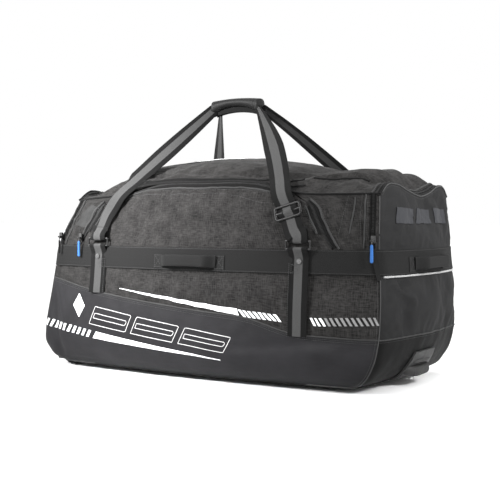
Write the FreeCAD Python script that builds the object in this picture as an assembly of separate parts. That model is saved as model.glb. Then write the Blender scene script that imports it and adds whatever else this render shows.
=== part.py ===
"""Wheeled ice hockey equipment bag: fabric panels, webbing, zips, wheels and moulded fittings.

Millimetres, +Z up. The origin is on the ground under the middle of the bag.
+X points to the end with the moulded lifting handle, -X to the wheels, -Y to the main zip.
The body is a loft of plan outlines: every panel, band and strap lies on that one surface,
k millimetres outside it, so neighbouring layers never cross.
"""
import FreeCAD, Part
import math
import os

V = FreeCAD.Vector

# Body: height, left half length, right half length, half width, side bulge, end bulge
SECTIONS = [
    (12, 432, 410, 200, 25, 6),
    (25, 468, 436, 208, 30, 10),
    (45, 488, 452, 213, 35, 14),
    (70, 500, 466, 216, 40, 16),
    (110, 498, 476, 215, 44, 19),
    (180, 487, 479, 210, 49, 23),
    (262, 474, 475, 203, 50, 26),
    (318, 464, 471, 200, 48, 26),
    (350, 448, 470, 198, 44, 24),
    (400, 421, 468, 192, 34, 16),
    (470, 392, 464, 184, 18, 8),
]
BASE_Z = 12.0          # underside of the walls, top of the base panel
FOLD_Z = 349.0         # the flaps fold just above this height
SEAM_Z = 288.0         # side panels end here, under the band
BAND_LOW, BAND_HIGH = 262.0, 316.0
COATED_SEAM = [(-500, 238), (-115, 183), (170, 157), (269, 130), (480, 123)]
KICK_SEAM_Z = 123.0

# Top panel: height of its long edges and of its ridge along the bag
EDGE_Z = [(-500, 430), (-330, 440), (-250, 446), (-170, 464), (0, 470),
          (170, 464), (250, 446), (330, 440), (500, 440)]
RIDGE_Z = [(-500, 437), (-380, 446), (-300, 489), (-247, 512), (-120, 525), (0, 528),
           (160, 513), (300, 494), (400, 487), (445, 466), (500, 440)]
ARCH = [(0.0, 1.0), (0.4, 0.88), (0.75, 0.60), (0.9, 0.32), (1.0, 0.0)]
END_TOP_Z = [(0.0, 437), (0.3, 449), (0.55, 461), (0.75, 463), (0.92, 450), (1.0, 438)]

# Main zip leg on the front: height and distance from the middle
ZIP_LEG = [(316, 367), (350, 344), (385, 323), (418, 301), (444, 252), (464, 170), (480, 100)]

PANEL = 4.0            # padded fabric
WEB = 2.2              # webbing
LAYER = 0.3            # clearance between layers
BAND_OUT = LAYER + 2.0
STRAP_IN = BAND_OUT + LAYER
STRAP_W, STRAP_X = 50.0, 290.0

RING_R, RING_LOW, RING_HIGH, RING_K = 2.2, 317.0, 335.0, 11.5
RING_HALF = 31.0
EYE_CLEAR = 0.08

GRIP_X, GRIP_Y, GRIP_Z = -15.0, -19.0, 668.0
GRIP_HALF, GRIP_TALL, GRIP_DEEP = 70.0, 21.0, 22.0

# Carry straps, left and right, near the body: distance from the middle, height and k
STRAP_ROUTES = {
    -1: ((287, 362, 12), (274, 400, 12), (243, 441, 16)),
    1: ((278, 362, 12), (256, 400, 12), (232, 441, 16)),
}
# How far each strap bows sideways on its way to the grip, by end and side
STRAP_SPREAD = {(-1, -1): -8.0, (1, -1): 21.0, (-1, 1): 4.0, (1, 1): 6.0}

WHEEL_R, WHEEL_W, WHEEL_X, WHEEL_Y = 43.0, 32.0, -430.0, 168.0
HUB_R, AXLE_R, AXLE_CLEAR = 30.0, 5.0, 0.06
HOUSING_R, HOUSING_WALL, WHEEL_GAP = 50.0, 4.0, 2.0

DIVIDERS = {"left_divider": -310.0, "right_divider": 330.0}
DIVIDER_T, DIVIDER_GAP = 2.0, 3.0

# Zip sliders stand this far off the wall; the pull turns on a pin this far outside the slider
SLIDER_K, PIN_OUT, PIN_DROP, PIN_R = 5.6, 10.0, 3.0, 1.0
SLIDER_HALF_X, SLIDER_DEEP, SLIDER_HALF_Z = 4.5, 5.0, 8.0
LUG_IN, LUG_OUT, LUG_R = 1.9, 3.4, 2.0
SLIDER_Z, CORNER_SLIDER_Z, CORNER_U = 338.0, 340.0, 0.965

FOOT_X, FOOT_Y, FOOT_R = 362.0, 130.0, 15.0
BAR_X, BAR_Z, BAR_R, BAR_HALF, ARM_T = 480.0, 27.0, 10.0, 58.0, 9.0
LIFT_PLATE_HALF, LIFT_PLATE_T = 66.0, 4.0


def along(table, x):
    """Straight-line interpolation in a table of (place, value)."""
    if x <= table[0][0]:
        return table[0][1]
    for (a, p), (b, q) in zip(table, table[1:]):
        if x <= b:
            return p + (q - p) * (x - a) / (b - a)
    return table[-1][1]


def section(z):
    return [along([(row[0], row[i]) for row in SECTIONS], z) for i in range(1, 6)]


def side_u(x, z):
    """Place across a side panel, from -1 at the left corner to 1 at the right corner."""
    left, right = section(z)[:2]
    return max(-1.0, min(1.0, (2 * x - right + left) / (left + right)))


def side_at(u, z, k, side=-1):
    left, right, half_w, bulge, _ = section(z)
    x = (right - left) / 2 + u * ((left + right) / 2 + k)
    return V(x, side * (half_w + k + bulge * (1 - u * u)), z)


def side(x, z, k, which=-1):
    return side_at(side_u(x, z), z, k, which)


def end(v, z, k, which=1):
    left, right, half_w, _, bulge = section(z)
    half = right if which > 0 else left
    return V(which * (half + k + bulge * (1 - v * v)), v * (half_w + k), z)


def steps(a, b, n):
    return [a + (b - a) * i / (n - 1) for i in range(n)]


def curve(points):
    """Edge through evenly spaced points: a line, a parabola where they lie on one, or a spline."""
    if len(points) == 2:
        return Part.makeLine(points[0], points[1])
    n = len(points) - 1
    if n % 2 == 0:
        first, middle, last = points[0], points[n // 2], points[n]
        pole = middle * 2 - (first + last) * 0.5
        parabola = Part.BezierCurve()
        parabola.setPoles([first, pole, last])
        if all((parabola.value(i / n) - p).Length < 0.02 for i, p in enumerate(points)):
            return parabola.toShape()
    spline = Part.BSplineCurve()
    spline.interpolate(points)
    return spline.toShape()


def ruled(a, b):
    return Part.makeRuledSurface(a, b, 1)


def quilt(outer, inner):
    """Closed solid between two sheets, each given as rows of points."""
    faces = []
    for sheet in (outer, inner):
        rows = [curve(r) for r in sheet]
        faces += [ruled(a, b) for a, b in zip(rows, rows[1:])]
    for i in (0, -1):
        faces.append(ruled(curve(outer[i]), curve(inner[i])))
    for j in (0, -1):
        for i in range(len(outer) - 1):
            top = Part.makeLine(outer[i][j], outer[i + 1][j])
            low = Part.makeLine(inner[i][j], inner[i + 1][j])
            faces.append(ruled(top, low))
    shell = Part.makeShell(faces)
    shell.sewShape()
    shell = shell.Shells[0]
    solid = Part.makeSolid(shell)
    if solid.Volume < 0:
        solid.reverse()
    return solid


def layer(place, rows, k_in, k_out):
    """Solid between k_in and k_out outside the body. rows hold the arguments of place."""
    sheets = [[[place(a, z, k) for a, z in row] for row in rows] for k in (k_out, k_in)]
    return quilt(*sheets)


def side_layer(rows, k_in, k_out, which=-1):
    return layer(lambda x, z, k: side(x, z, k, which), rows, k_in, k_out)


def end_layer(rows, k_in, k_out, which=1):
    return layer(lambda v, z, k: end(v, z, k, which), rows, k_in, k_out)


def x_at(u, z):
    left, right = section(z)[:2]
    return (right - left) / 2 + u * (left + right) / 2


def level(z, u0=-1.0, u1=1.0, n=7):
    """A level row across a side panel, corner to corner unless said."""
    return [(x_at(u, z), z) for u in steps(u0, u1, n)]


def span(x0, x1, z, n=5):
    return [(x, z) for x in steps(x0, x1, n)]


def end_row(z, v0=-1.0, v1=1.0, n=5):
    return [(v, z) for v in steps(v0, v1, n)]


def seam_row(share, other_z, n=9):
    """A row a share of the way from the slanting coated seam to a level height."""
    row = []
    for u in steps(-1, 1, n):
        z = along(COATED_SEAM, u * 480) * (1 - share) + other_z * share
        row.append((x_at(u, z), z))
    return row


def top_place(u, s, k):
    """Point of the top panel: u along the bag, s across it from -1 in front to 1 behind."""
    inset = PANEL + 1.0
    left, right, _, _, end_bulge = section(along(END_TOP_Z, abs(s)))
    x_low = -(left + end_bulge * (1 - s * s) - inset)
    x_high = right + end_bulge * (1 - s * s) - inset
    x = x_low + (x_high - x_low) * (u + 1) / 2
    half_w, bulge = section(along(EDGE_Z, x))[2:4]
    y = s * (half_w + bulge * (1 - u * u) - inset)
    rise = along(ARCH, abs(s))
    z = along(EDGE_Z, x) * (1 - rise) + along(RIDGE_Z, x) * rise
    near_end = max(0.0, (abs(u) - 0.8) / 0.2) ** 2
    z = z * (1 - near_end) + along(END_TOP_Z, abs(s)) * near_end
    return V(x, y, z + k)


def bottom_outline(z, k):
    edges = []
    for which, order in ((-1, 1), (1, -1)):
        edges.append(curve([side_at(order * u, BASE_Z, k, which) for u in steps(-1, 1, 7)]))
    for which, order in ((1, 1), (-1, -1)):
        edges.append(curve([end(order * v, BASE_Z, k, which) for v in steps(-1, 1, 5)]))
    wire = Part.Wire(Part.__sortEdges__(edges))
    wire.translate(V(0, 0, z - BASE_Z))
    return Part.Face(wire)


def cylinder_y(radius, x, z, y0, y1):
    return Part.makeCylinder(radius, y1 - y0, V(x, y0, z), V(0, 1, 0))


def cylinder_x(radius, y, z, x0, x1):
    return Part.makeCylinder(radius, x1 - x0, V(x0, y, z), V(1, 0, 0))


def block(x0, x1, y0, y1, z0, z1):
    return Part.makeBox(x1 - x0, y1 - y0, z1 - z0, V(x0, y0, z0))


NODES = {}


# ---------------------------------------------------------------- wheels and their housings
def wheel_span(which, spare):
    """y range of the wheel on one side, made wider by spare at each face."""
    half = WHEEL_W / 2 + spare
    return which * WHEEL_Y - half, which * WHEEL_Y + half


def housing_room(which, spare=0.0):
    y0, y1 = wheel_span(which, WHEEL_GAP + HOUSING_WALL + spare)
    return cylinder_y(HOUSING_R + spare, WHEEL_X, WHEEL_R, y0, y1)


def make_housing(which):
    shape = housing_room(which)
    y0, y1 = wheel_span(which, WHEEL_GAP)
    shape = shape.cut(cylinder_y(HOUSING_R - HOUSING_WALL, WHEEL_X, WHEEL_R, y0, y1))
    shape = shape.cut(cylinder_y(AXLE_R, WHEEL_X, WHEEL_R, y0 - 10, y1 + 10))
    low = block(WHEEL_X - 60, WHEEL_X + 60, y0 - 20, y1 + 20, -60, BASE_Z + 2)
    return shape.cut(low)


def make_tyre(which):
    y0, y1 = wheel_span(which, 0)
    tyre = cylinder_y(WHEEL_R, WHEEL_X, WHEEL_R, y0, y1)
    tyre = tyre.makeChamfer(3.0, [e for e in tyre.Edges if e.Curve.TypeId == "Part::GeomCircle"])
    return tyre.cut(cylinder_y(HUB_R, WHEEL_X, WHEEL_R, y0 - 1, y1 + 1))


def make_hub(which):
    y0, y1 = wheel_span(which, 0)
    hub = cylinder_y(HUB_R, WHEEL_X, WHEEL_R, y0 + 1, y1 - 1)
    hub = hub.cut(cylinder_y(AXLE_R + AXLE_CLEAR, WHEEL_X, WHEEL_R, y0 - 1, y1 + 1))
    for i in range(6):
        angle = math.radians(60 * i)
        x = WHEEL_X + 18 * math.cos(angle)
        z = WHEEL_R + 18 * math.sin(angle)
        hub = hub.cut(cylinder_y(5.5, x, z, y0 - 1, y1 + 1))
    return hub


def make_axle(which):
    y0, y1 = wheel_span(which, WHEEL_GAP + HOUSING_WALL)
    return cylinder_y(AXLE_R, WHEEL_X, WHEEL_R, y0, y1)


for name, which in (("front", -1), ("back", 1)):
    NODES[name + "_wheel_housing"] = make_housing(which)
    NODES[name + "_tyre"] = make_tyre(which)
    NODES[name + "_hub"] = make_hub(which)
NODES["wheel_axles"] = Part.makeCompound([make_axle(-1), make_axle(1)])


# ---------------------------------------------------------------- base, foot and side panels
def clear_wheels(shape):
    for which in (-1, 1):
        shape = shape.cut(housing_room(which, LAYER))
    return shape


def clear_feet(shape):
    """Trim an end panel to the foot panels that it is sewn to at the corners."""
    return shape.cut(NODES["front_foot_panel"]).cut(NODES["back_foot_panel"])


LOW_LEVELS = [row[0] for row in SECTIONS if row[0] < 100]

NODES["bottom_panel"] = clear_wheels(bottom_outline(BASE_Z - PANEL, 0).extrude(V(0, 0, PANEL)))
NODES["base_board"] = block(-370, 390, -185, 185, BASE_Z + LAYER, BASE_Z + LAYER + 3)

for name, which in (("front", -1), ("back", 1)):
    foot = [level(z, n=9) for z in LOW_LEVELS]
    foot += [seam_row(share, LOW_LEVELS[-1]) for share in (0.75, 0.5, 0.25, 0.0)]
    NODES[name + "_foot_panel"] = clear_wheels(side_layer(foot, -PANEL, 0, which))
    woven = [seam_row(share, 262) for share in (0.0, 0.35, 0.7)]
    woven += [level(262, n=9), level(SEAM_Z, n=9)]
    NODES[name + "_side_panel"] = side_layer(woven, -PANEL, 0, which)

for name, which in (("right", 1), ("left", -1)):
    kick = [end_row(z) for z in LOW_LEVELS + [KICK_SEAM_Z]]
    NODES[name + "_kick_panel"] = clear_feet(clear_wheels(end_layer(kick, -PANEL, 0, which)))
    upper = [end_row(z) for z in (KICK_SEAM_Z, 180, 262, SEAM_Z)]
    NODES[name + "_end_panel"] = clear_feet(end_layer(upper, -PANEL, 0, which))
    strip = [end_row(z) for z in (SEAM_Z, 318, FOLD_Z - 1)]
    NODES[name + "_fold_strip"] = end_layer(strip, -PANEL, 0, which)
    flap = [end_row(z, -0.985, 0.985, 9) for z in (FOLD_Z + 1, 400)]
    top = [(v, along(END_TOP_Z, abs(v)) - 1) for v in steps(-0.985, 0.985, 9)]
    NODES[name + "_pocket_flap"] = end_layer(flap + [top], -PANEL, 0, which)


# ---------------------------------------------------------------- upper front, back and top
def edge_row(x0, x1, n=9, drop=0.0):
    return [(x, along(EDGE_Z, x) - drop) for x in steps(x0, x1, n)]


def zip_x(z):
    return along(ZIP_LEG, z)


NODES["front_fold_strip"] = side_layer([level(z) for z in (SEAM_Z, 318, FOLD_Z - 1)], -PANEL, 0)
FLAP_LEVELS = (FOLD_Z + 1, 385, 416)
FLAP_CORNER = 9.0      # the flap's lower corners are cut back, so that they swing clear of the gussets
flap = [span(-zip_x(z) + gap, zip_x(z) - gap, z, 13)
        for z, gap in ((FOLD_Z + 1, FLAP_CORNER), (366, 1.5), (385, 1), (416, 1))]
ZIP_TOP = [(x, z) for z, x in reversed(ZIP_LEG[3:])]


def flap_top_row():
    row = []
    for x in steps(-zip_x(418) + 1, zip_x(418) - 1, 13):
        row.append((x, min(along(ZIP_TOP, abs(x)), along(EDGE_Z, x)) - 2.5))
    return row


flap_top = flap_top_row()
NODES["main_flap"] = side_layer(flap + [flap_top], -PANEL, 0)

for name, sign in (("left", -1), ("right", 1)):
    rows = []
    for z in FLAP_LEVELS:
        outer = x_at(sign, z)
        rows.append(span(sign * (zip_x(z) + 1), outer, z, 4))
    corner = x_at(sign, 440)
    rows.append([(x, along(EDGE_Z, x) - 1) for x in steps(sign * 262, corner, 4)])
    NODES["front_" + name + "_gusset"] = side_layer(rows, -PANEL, 0)

back = [level(z, n=13) for z in (SEAM_Z, 318, 350, 400)]
back.append([(x, along(EDGE_Z, x) - 1) for x in [x_at(u, 440) for u in steps(-1, 1, 13)]])
NODES["back_upper_panel"] = side_layer(back, -PANEL, 0, 1)

TOP_S = (-1.0, -0.9, -0.75, -0.4, 0.0, 0.4, 0.75, 0.9, 1.0)
TOP_U = (-1.0, -0.92, -0.8, -0.6, -0.3, 0.0, 0.35, 0.65, 0.85, 0.94, 1.0)
sheets = [[[top_place(u, s, k) for u in TOP_U] for s in TOP_S] for k in (0, -PANEL)]
NODES["top_panel"] = quilt(*sheets)


# ---------------------------------------------------------------- band, piping and zips
for name, which in (("front", -1), ("back", 1)):
    rows = [level(z) for z in (BAND_LOW, BAND_HIGH)]
    NODES[name + "_band"] = side_layer(rows, LAYER, BAND_OUT, which)
for name, which in (("right", 1), ("left", -1)):
    rows = [end_row(z) for z in (BAND_LOW, BAND_HIGH)]
    NODES[name + "_band"] = end_layer(rows, LAYER, BAND_OUT, which)
NODES["reflective_piping"] = Part.makeCompound(
    [end_layer([end_row(z, -0.97, 0.97) for z in (256, 261)], LAYER, 3.0, w) for w in (1, -1)])


def zip_leg(sign, a, b, levels, k_in, k_out):
    rows = [span(sign * (zip_x(z) + a), sign * (zip_x(z) + b), z, 3) for z in levels]
    return side_layer(rows, k_in, k_out)


LEG_LEVELS = (FOLD_Z + 3, 385, 414)
FLAP_LEG_LEVELS = (368, 385, 414)
RUN_K = (3.4, 1.4)     # the zips over the top ride this far off the top panel
top_run = [[top_place(u, s, k) for u in steps(-0.44, 0.36, 9)]
           for k in RUN_K for s in (-0.975, -0.95)]
NODES["main_zip_fixed_side"] = Part.makeCompound([
    zip_leg(-1, 2, 8, (BAND_HIGH + 2,) + LEG_LEVELS, LAYER, BAND_OUT),
    zip_leg(1, 2, 8, (BAND_HIGH + 2,) + LEG_LEVELS, LAYER, BAND_OUT),
    quilt(top_run[:2], top_run[2:]),
])
run = [[(x, z - d) for x, z in flap_top[3:-3]] for d in (8, 2)]
NODES["main_zip_flap_side"] = Part.makeCompound([
    zip_leg(-1, -8, -2, FLAP_LEG_LEVELS, LAYER, 1.3),
    zip_leg(1, -8, -2, FLAP_LEG_LEVELS, LAYER, 1.3),
    side_layer(run, LAYER, 1.3),
])


def corner_zip(sign, which):
    rows = [[(x_at(sign * u, z), z) for u in (0.973, 0.986)] for z in (FOLD_Z + 3, 400, 430)]
    return side_layer(rows, LAYER, BAND_OUT, which)


def end_run(sign):
    rows = [[top_place(sign * u, s, k) for s in steps(-0.85, 0.85, 13)]
            for k in RUN_K for u in (0.968, 0.982)]
    return quilt(rows[:2], rows[2:])


NODES["pocket_zips"] = Part.makeCompound(
    [corner_zip(s, w) for s in (-1, 1) for w in (-1, 1)] + [end_run(-1), end_run(1)])


# ---------------------------------------------------------------- webbing, rings and grab handles
def lower_strap(sign, which):
    low = along(COATED_SEAM, sign * STRAP_X) + 3
    x0, x1 = sign * STRAP_X - STRAP_W / 2, sign * STRAP_X + STRAP_W / 2
    levels = [low] + [row[0] for row in SECTIONS if low + 5 < row[0] < 300] + [300]
    rows = [span(x0, x1, z, 3) for z in levels]
    outer = [[side(x, z, STRAP_IN + WEB, which) for x, z in r] for r in rows]
    inner = [[side(x, z, STRAP_IN, which) for x, z in r] for r in rows]
    y = ring_y(which)
    lead = RING_LOW - RING_R
    outer.append([V(x, y + which * 0.9, lead - 1) for x, z in rows[0]])
    inner.append([V(x, y - which * 1.3, lead - 1) for x, z in rows[0]])
    strap = quilt(outer, inner)
    tube = cylinder_x(RING_R + 2.0, y, RING_LOW, x0, x1)
    hole = cylinder_x(RING_R, y, RING_LOW, x0 - 1, x1 + 1)
    return strap.fuse(tube).cut(hole)


def ring_y(which):
    return side(STRAP_X, RING_HIGH, RING_K, which).y


def ring(sign, which):
    y, cx = ring_y(which), sign * STRAP_X
    shape = cylinder_x(RING_R, y, RING_LOW, cx - RING_HALF, cx + RING_HALF)
    shape = shape.fuse(cylinder_x(RING_R, y, RING_HIGH, cx - RING_HALF, cx + RING_HALF))
    for x in (cx - RING_HALF, cx + RING_HALF):
        post = Part.makeCylinder(RING_R, RING_HIGH - RING_LOW, V(x, y, RING_LOW), V(0, 0, 1))
        shape = shape.fuse(post)
        for z in (RING_LOW, RING_HIGH):
            shape = shape.fuse(Part.makeSphere(RING_R, V(x, y, z)))
    return shape.removeSplitter()


def rivet(sign, which):
    face = side(sign * STRAP_X, 290, STRAP_IN + WEB, which)
    start = V(face.x, face.y + which * 1.2, face.z)
    return Part.makeCylinder(6.0, 2.0, start, V(0, which, 0))


CORNERS = [(s, w) for s in (-1, 1) for w in (-1, 1)]
NODES["lower_straps"] = Part.makeCompound([lower_strap(s, w) for s, w in CORNERS])
NODES["strap_rings"] = Part.makeCompound([ring(s, w) for s, w in CORNERS])
NODES["strap_rivets"] = Part.makeCompound([rivet(s, w) for s, w in CORNERS])

HANDLE_RISE = [(0.0, 20.0), (0.45, 18.5), (0.68, 10.0), (0.84, 1.5), (1.0, 0.0)]
HANDLE_T = 5.0


def grab_handle(place, half, rise_to, z0=268.0, z1=300.0):
    """Padded webbing loop: both ends lie on the band and the middle stands proud of it."""
    ts = (-1.0, -0.84, -0.68, -0.45, 0.0, 0.45, 0.68, 0.84, 1.0)
    sheets = []
    for extra in (HANDLE_T, 0.0):
        rise = {t: STRAP_IN + 0.6 + extra + along(HANDLE_RISE, abs(t)) * rise_to for t in ts}
        sheets.append([[place(t * half, z, rise[t]) for t in ts] for z in (z0, z1)])
    return quilt(*sheets)


for name, which in (("front", -1), ("back", 1)):
    NODES[name + "_grab_handle"] = grab_handle(lambda x, z, k: side(x, z, k, which), 78.0, 0.75)
for name, which, rise_to in (("right", 1, 0.85), ("left", -1, 0.85)):
    NODES[name + "_grab_handle"] = grab_handle(
        lambda y, z, k: end(y / 200.0, z, k, which), 78.0, rise_to)


# ---------------------------------------------------------------- carry handle: two strap loops
def grip_half(which):
    """Half of the moulded wrap, split on the plane between the two loops."""
    wires = []
    for t in (-1.0, -0.5, 0.0, 0.5, 1.0):
        x = GRIP_X + t * GRIP_HALF
        zc = GRIP_Z - 6 * t * t
        tall = GRIP_TALL * (1 - 0.12 * t * t)
        flat = GRIP_Y + which * 0.3
        arc = []
        for a in steps(-90, 90, 7):
            ca, sa = math.cos(math.radians(a)), math.sin(math.radians(a))
            arc.append(V(x, flat + which * GRIP_DEEP * ca, zc + tall * sa))
        wires.append(Part.Wire([curve(arc), Part.makeLine(arc[-1], arc[0])]))
    return Part.makeLoft(wires, True, True)


def strap_path(sign, which):
    """Centre line of one carry strap from its ring, over the bag's shoulder, to the grip."""
    low, spread = STRAP_ROUTES[sign], STRAP_SPREAD[sign, which]
    points = [V(sign * STRAP_X, ring_y(which), RING_HIGH + 3)]
    points += [side(sign * x, z, k, which) for x, z, k in low]
    start = points[-1]
    finish = V(GRIP_X + sign * (GRIP_HALF - 5), GRIP_Y + which * 10.0, GRIP_Z - 8)
    for t in steps(0, 1, 7)[1:]:
        bow = math.sin(math.pi * t)
        p = start + (finish - start) * t
        points.append(V(p.x + sign * spread * bow, p.y + which * 9.0 * bow, p.z))
    return points


def strap_frame(points, i):
    """Width and outward directions of a strap at a point of its centre line."""
    a, b = points[max(i - 1, 0)], points[min(i + 1, len(points) - 1)]
    run = (b - a).normalize()
    across = V(1, 0, 0) - run * run.x
    across.normalize()
    return across, run.cross(across)


def carry_strap(sign, which):
    points = strap_path(sign, which)
    outer, inner = [], []
    for i, p in enumerate(points):
        across, out = strap_frame(points, i)
        if out.y * which < 0:
            out = out * -1
        half = STRAP_W / 2 * (1 - 0.45 * max(0.0, (i - 6) / (len(points) - 7)))
        outer.append([p - across * half + out * WEB / 2, p + across * half + out * WEB / 2])
        inner.append([p - across * half - out * WEB / 2, p + across * half - out * WEB / 2])
    strap = quilt(outer, inner)
    x0, x1 = sign * STRAP_X - STRAP_W / 2, sign * STRAP_X + STRAP_W / 2
    y = ring_y(which)
    bore = RING_R + EYE_CLEAR
    strap = strap.fuse(cylinder_x(bore + 2.0, y, RING_HIGH, x0, x1))
    strap = strap.cut(cylinder_x(bore, y, RING_HIGH, x0 - 5, x1 + 5))
    return strap.cut(NODES[("front" if which < 0 else "back") + "_grip_half"])


def adjuster():
    """Two-slot slider on the front right carry strap."""
    points = strap_path(1, -1)
    i = 2
    across, out = strap_frame(points, i)
    if out.y > 0:
        out = out * -1
    run = (points[i + 1] - points[i - 1]).normalize()
    shape = block(-31, 31, -17, 17, 0, 3)
    for y0, y1 in ((-12, -2.5), (2.5, 12)):
        shape = shape.cut(block(-26, 26, y0, y1, -1, 4))
    place = FreeCAD.Matrix()
    place.A11, place.A21, place.A31 = across.x, across.y, across.z
    place.A12, place.A22, place.A32 = run.x, run.y, run.z
    place.A13, place.A23, place.A33 = out.x, out.y, out.z
    origin = points[i] + out * (WEB / 2 + 1.2)
    place.A14, place.A24, place.A34 = origin.x, origin.y, origin.z
    return shape.transformGeometry(place)


for name, which in (("front", -1), ("back", 1)):
    NODES[name + "_grip_half"] = grip_half(which)
    for hand, sign in (("left", -1), ("right", 1)):
        NODES[name + "_" + hand + "_carry_strap"] = carry_strap(sign, which)
NODES["strap_adjuster"] = adjuster()


# ---------------------------------------------------------------- zip sliders and pulls
def slider(place):
    """Slider body with two lugs and the pin that the pull turns on. place is its inner face."""
    body = block(-SLIDER_HALF_X, SLIDER_HALF_X, -SLIDER_DEEP, 0, -SLIDER_HALF_Z, SLIDER_HALF_Z)
    corners = [e for e in body.Edges if abs(e.tangentAt(e.FirstParameter).y) > 0.9]
    shape = body.makeChamfer(1.2, corners)
    for x0, x1 in ((-LUG_OUT, -LUG_IN), (LUG_IN, LUG_OUT)):
        shape = shape.fuse(block(x0, x1, -PIN_OUT, -SLIDER_DEEP, -PIN_DROP - LUG_R, -PIN_DROP + LUG_R))
        shape = shape.fuse(cylinder_x(LUG_R, -PIN_OUT, -PIN_DROP, x0, x1))
    shape = shape.fuse(cylinder_x(PIN_R, -PIN_OUT, -PIN_DROP, -LUG_OUT, LUG_OUT))
    shape.translate(place)
    return shape


def pull(place, length, width):
    """Eye round the slider's pin, a neck between the lugs and a soft tab below it."""
    neck_half, neck, half_t = LUG_IN - 0.15, 5.5, 1.0
    eye = cylinder_x(LUG_R, -PIN_OUT, -PIN_DROP, -neck_half, neck_half)
    stem = block(-neck_half, neck_half, -PIN_OUT - half_t, -PIN_OUT + half_t, -PIN_DROP - neck, -PIN_DROP)
    tab = block(-width / 2, width / 2, -PIN_OUT - half_t, -PIN_OUT + half_t,
                -PIN_DROP - neck - length, -PIN_DROP - neck)
    shape = eye.fuse(stem).fuse(tab)
    shape = shape.cut(cylinder_x(PIN_R + EYE_CLEAR, -PIN_OUT, -PIN_DROP, -LUG_OUT, LUG_OUT))
    shape.translate(place)
    return shape


def corner_slider_place(sign):
    return side(x_at(sign * CORNER_U, CORNER_SLIDER_Z), CORNER_SLIDER_Z, SLIDER_K)


# place, length of the tab and its width
SLIDERS = {
    "main": (side(-(zip_x(SLIDER_Z) + 5), SLIDER_Z, SLIDER_K), 42.0, 8.0),
    "right_pocket": (corner_slider_place(1), 42.0, 8.0),
    "left_pocket": (corner_slider_place(-1), 38.0, 5.0),
}
for name, (place, length, width) in SLIDERS.items():
    NODES[name + "_slider"] = slider(place)
    NODES[name + "_pull"] = pull(place, length, width)


# ---------------------------------------------------------------- inside and under the bag
def divider(x):
    levels = (26, 45, 70, 110, 180, 262, 318, 350, 400, 428)
    front = [V(x, side(x, z, -PANEL - DIVIDER_GAP, -1).y, z) for z in levels]
    rear = [V(x, -p.y, p.z) for p in reversed(front)]
    wire = Part.makePolygon(front + rear + [front[0]])
    return Part.Face(wire).extrude(V(DIVIDER_T, 0, 0))


for name, x in DIVIDERS.items():
    NODES[name] = divider(x)

NODES["rubber_feet"] = Part.makeCompound(
    [Part.makeCone(FOOT_R - 3, FOOT_R, BASE_Z - PANEL, V(FOOT_X, s * FOOT_Y, 0)) for s in (-1, 1)])


def lift_handle():
    """Moulded handle on the lower right edge: a shaped plate, two arms and a grip bar."""
    half = LIFT_PLATE_HALF / 215.0
    levels = (14, 25, 45, 70, 84)
    plate = end_layer([end_row(z, -half, half) for z in levels], LAYER, LIFT_PLATE_T)
    bar = cylinder_y(BAR_R, BAR_X, BAR_Z, -BAR_HALF, BAR_HALF)
    arms = []
    for y0 in (-BAR_HALF, BAR_HALF - ARM_T):
        outline = [V(438, y0, 16), V(BAR_X, y0, BAR_Z - BAR_R), V(BAR_X + 9, y0, BAR_Z + 4),
                   V(BAR_X + 7, y0, 60), V(476, y0, 76), V(452, y0, 34)]
        arms.append(Part.Face(Part.makePolygon(outline + [outline[0]])).extrude(V(0, ARM_T, 0)))
    shape = plate.fuse([bar] + arms)
    kick = [end_row(z, -half - 0.1, half + 0.1) for z in (11, 12, 25, 45, 70, 110)]
    return shape.cut(end_layer(kick, -30, LAYER))


NODES["lift_handle"] = lift_handle()


os.makedirs("parts", exist_ok=True)
for name, shape in sorted(NODES.items()):
    shape.exportStep(os.path.join("parts", name + ".step"))
    state = "" if shape.isValid() and shape.Volume > 0 else "  NOT VALID"
    print(f"{name:26s} {len(shape.Solids):3d} solids {shape.Volume / 1000:9.1f} cm3{state}")
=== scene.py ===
"""Ice hockey equipment bag: fabric, webbing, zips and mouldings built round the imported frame.

Metres, +Z up, -Y is the front with the main zip, +X the end with the lifting handle.
Every panel, band, zip and print is cut from one skin: four wall sheets and a top sheet.
"""
import math

import bpy
import numpy as np
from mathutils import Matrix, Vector, noise


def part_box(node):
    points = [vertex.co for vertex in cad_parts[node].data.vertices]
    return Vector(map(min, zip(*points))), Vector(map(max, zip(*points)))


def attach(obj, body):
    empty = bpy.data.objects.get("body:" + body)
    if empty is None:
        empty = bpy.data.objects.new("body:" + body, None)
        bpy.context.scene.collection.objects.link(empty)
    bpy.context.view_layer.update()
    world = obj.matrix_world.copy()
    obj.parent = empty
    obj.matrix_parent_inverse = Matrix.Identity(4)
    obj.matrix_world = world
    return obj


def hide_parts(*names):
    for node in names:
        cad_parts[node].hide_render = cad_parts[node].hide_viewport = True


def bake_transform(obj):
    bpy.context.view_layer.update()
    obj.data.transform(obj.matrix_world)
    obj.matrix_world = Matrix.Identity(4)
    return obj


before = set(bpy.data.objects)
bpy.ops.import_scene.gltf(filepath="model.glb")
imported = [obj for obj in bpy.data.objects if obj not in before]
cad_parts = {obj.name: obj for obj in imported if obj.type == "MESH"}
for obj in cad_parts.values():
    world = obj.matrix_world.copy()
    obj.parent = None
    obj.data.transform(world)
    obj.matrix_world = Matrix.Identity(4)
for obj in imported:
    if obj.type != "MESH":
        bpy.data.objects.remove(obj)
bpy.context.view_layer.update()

# ------------------------------------------------------------------ the bag's outline
MM = 0.001
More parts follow.
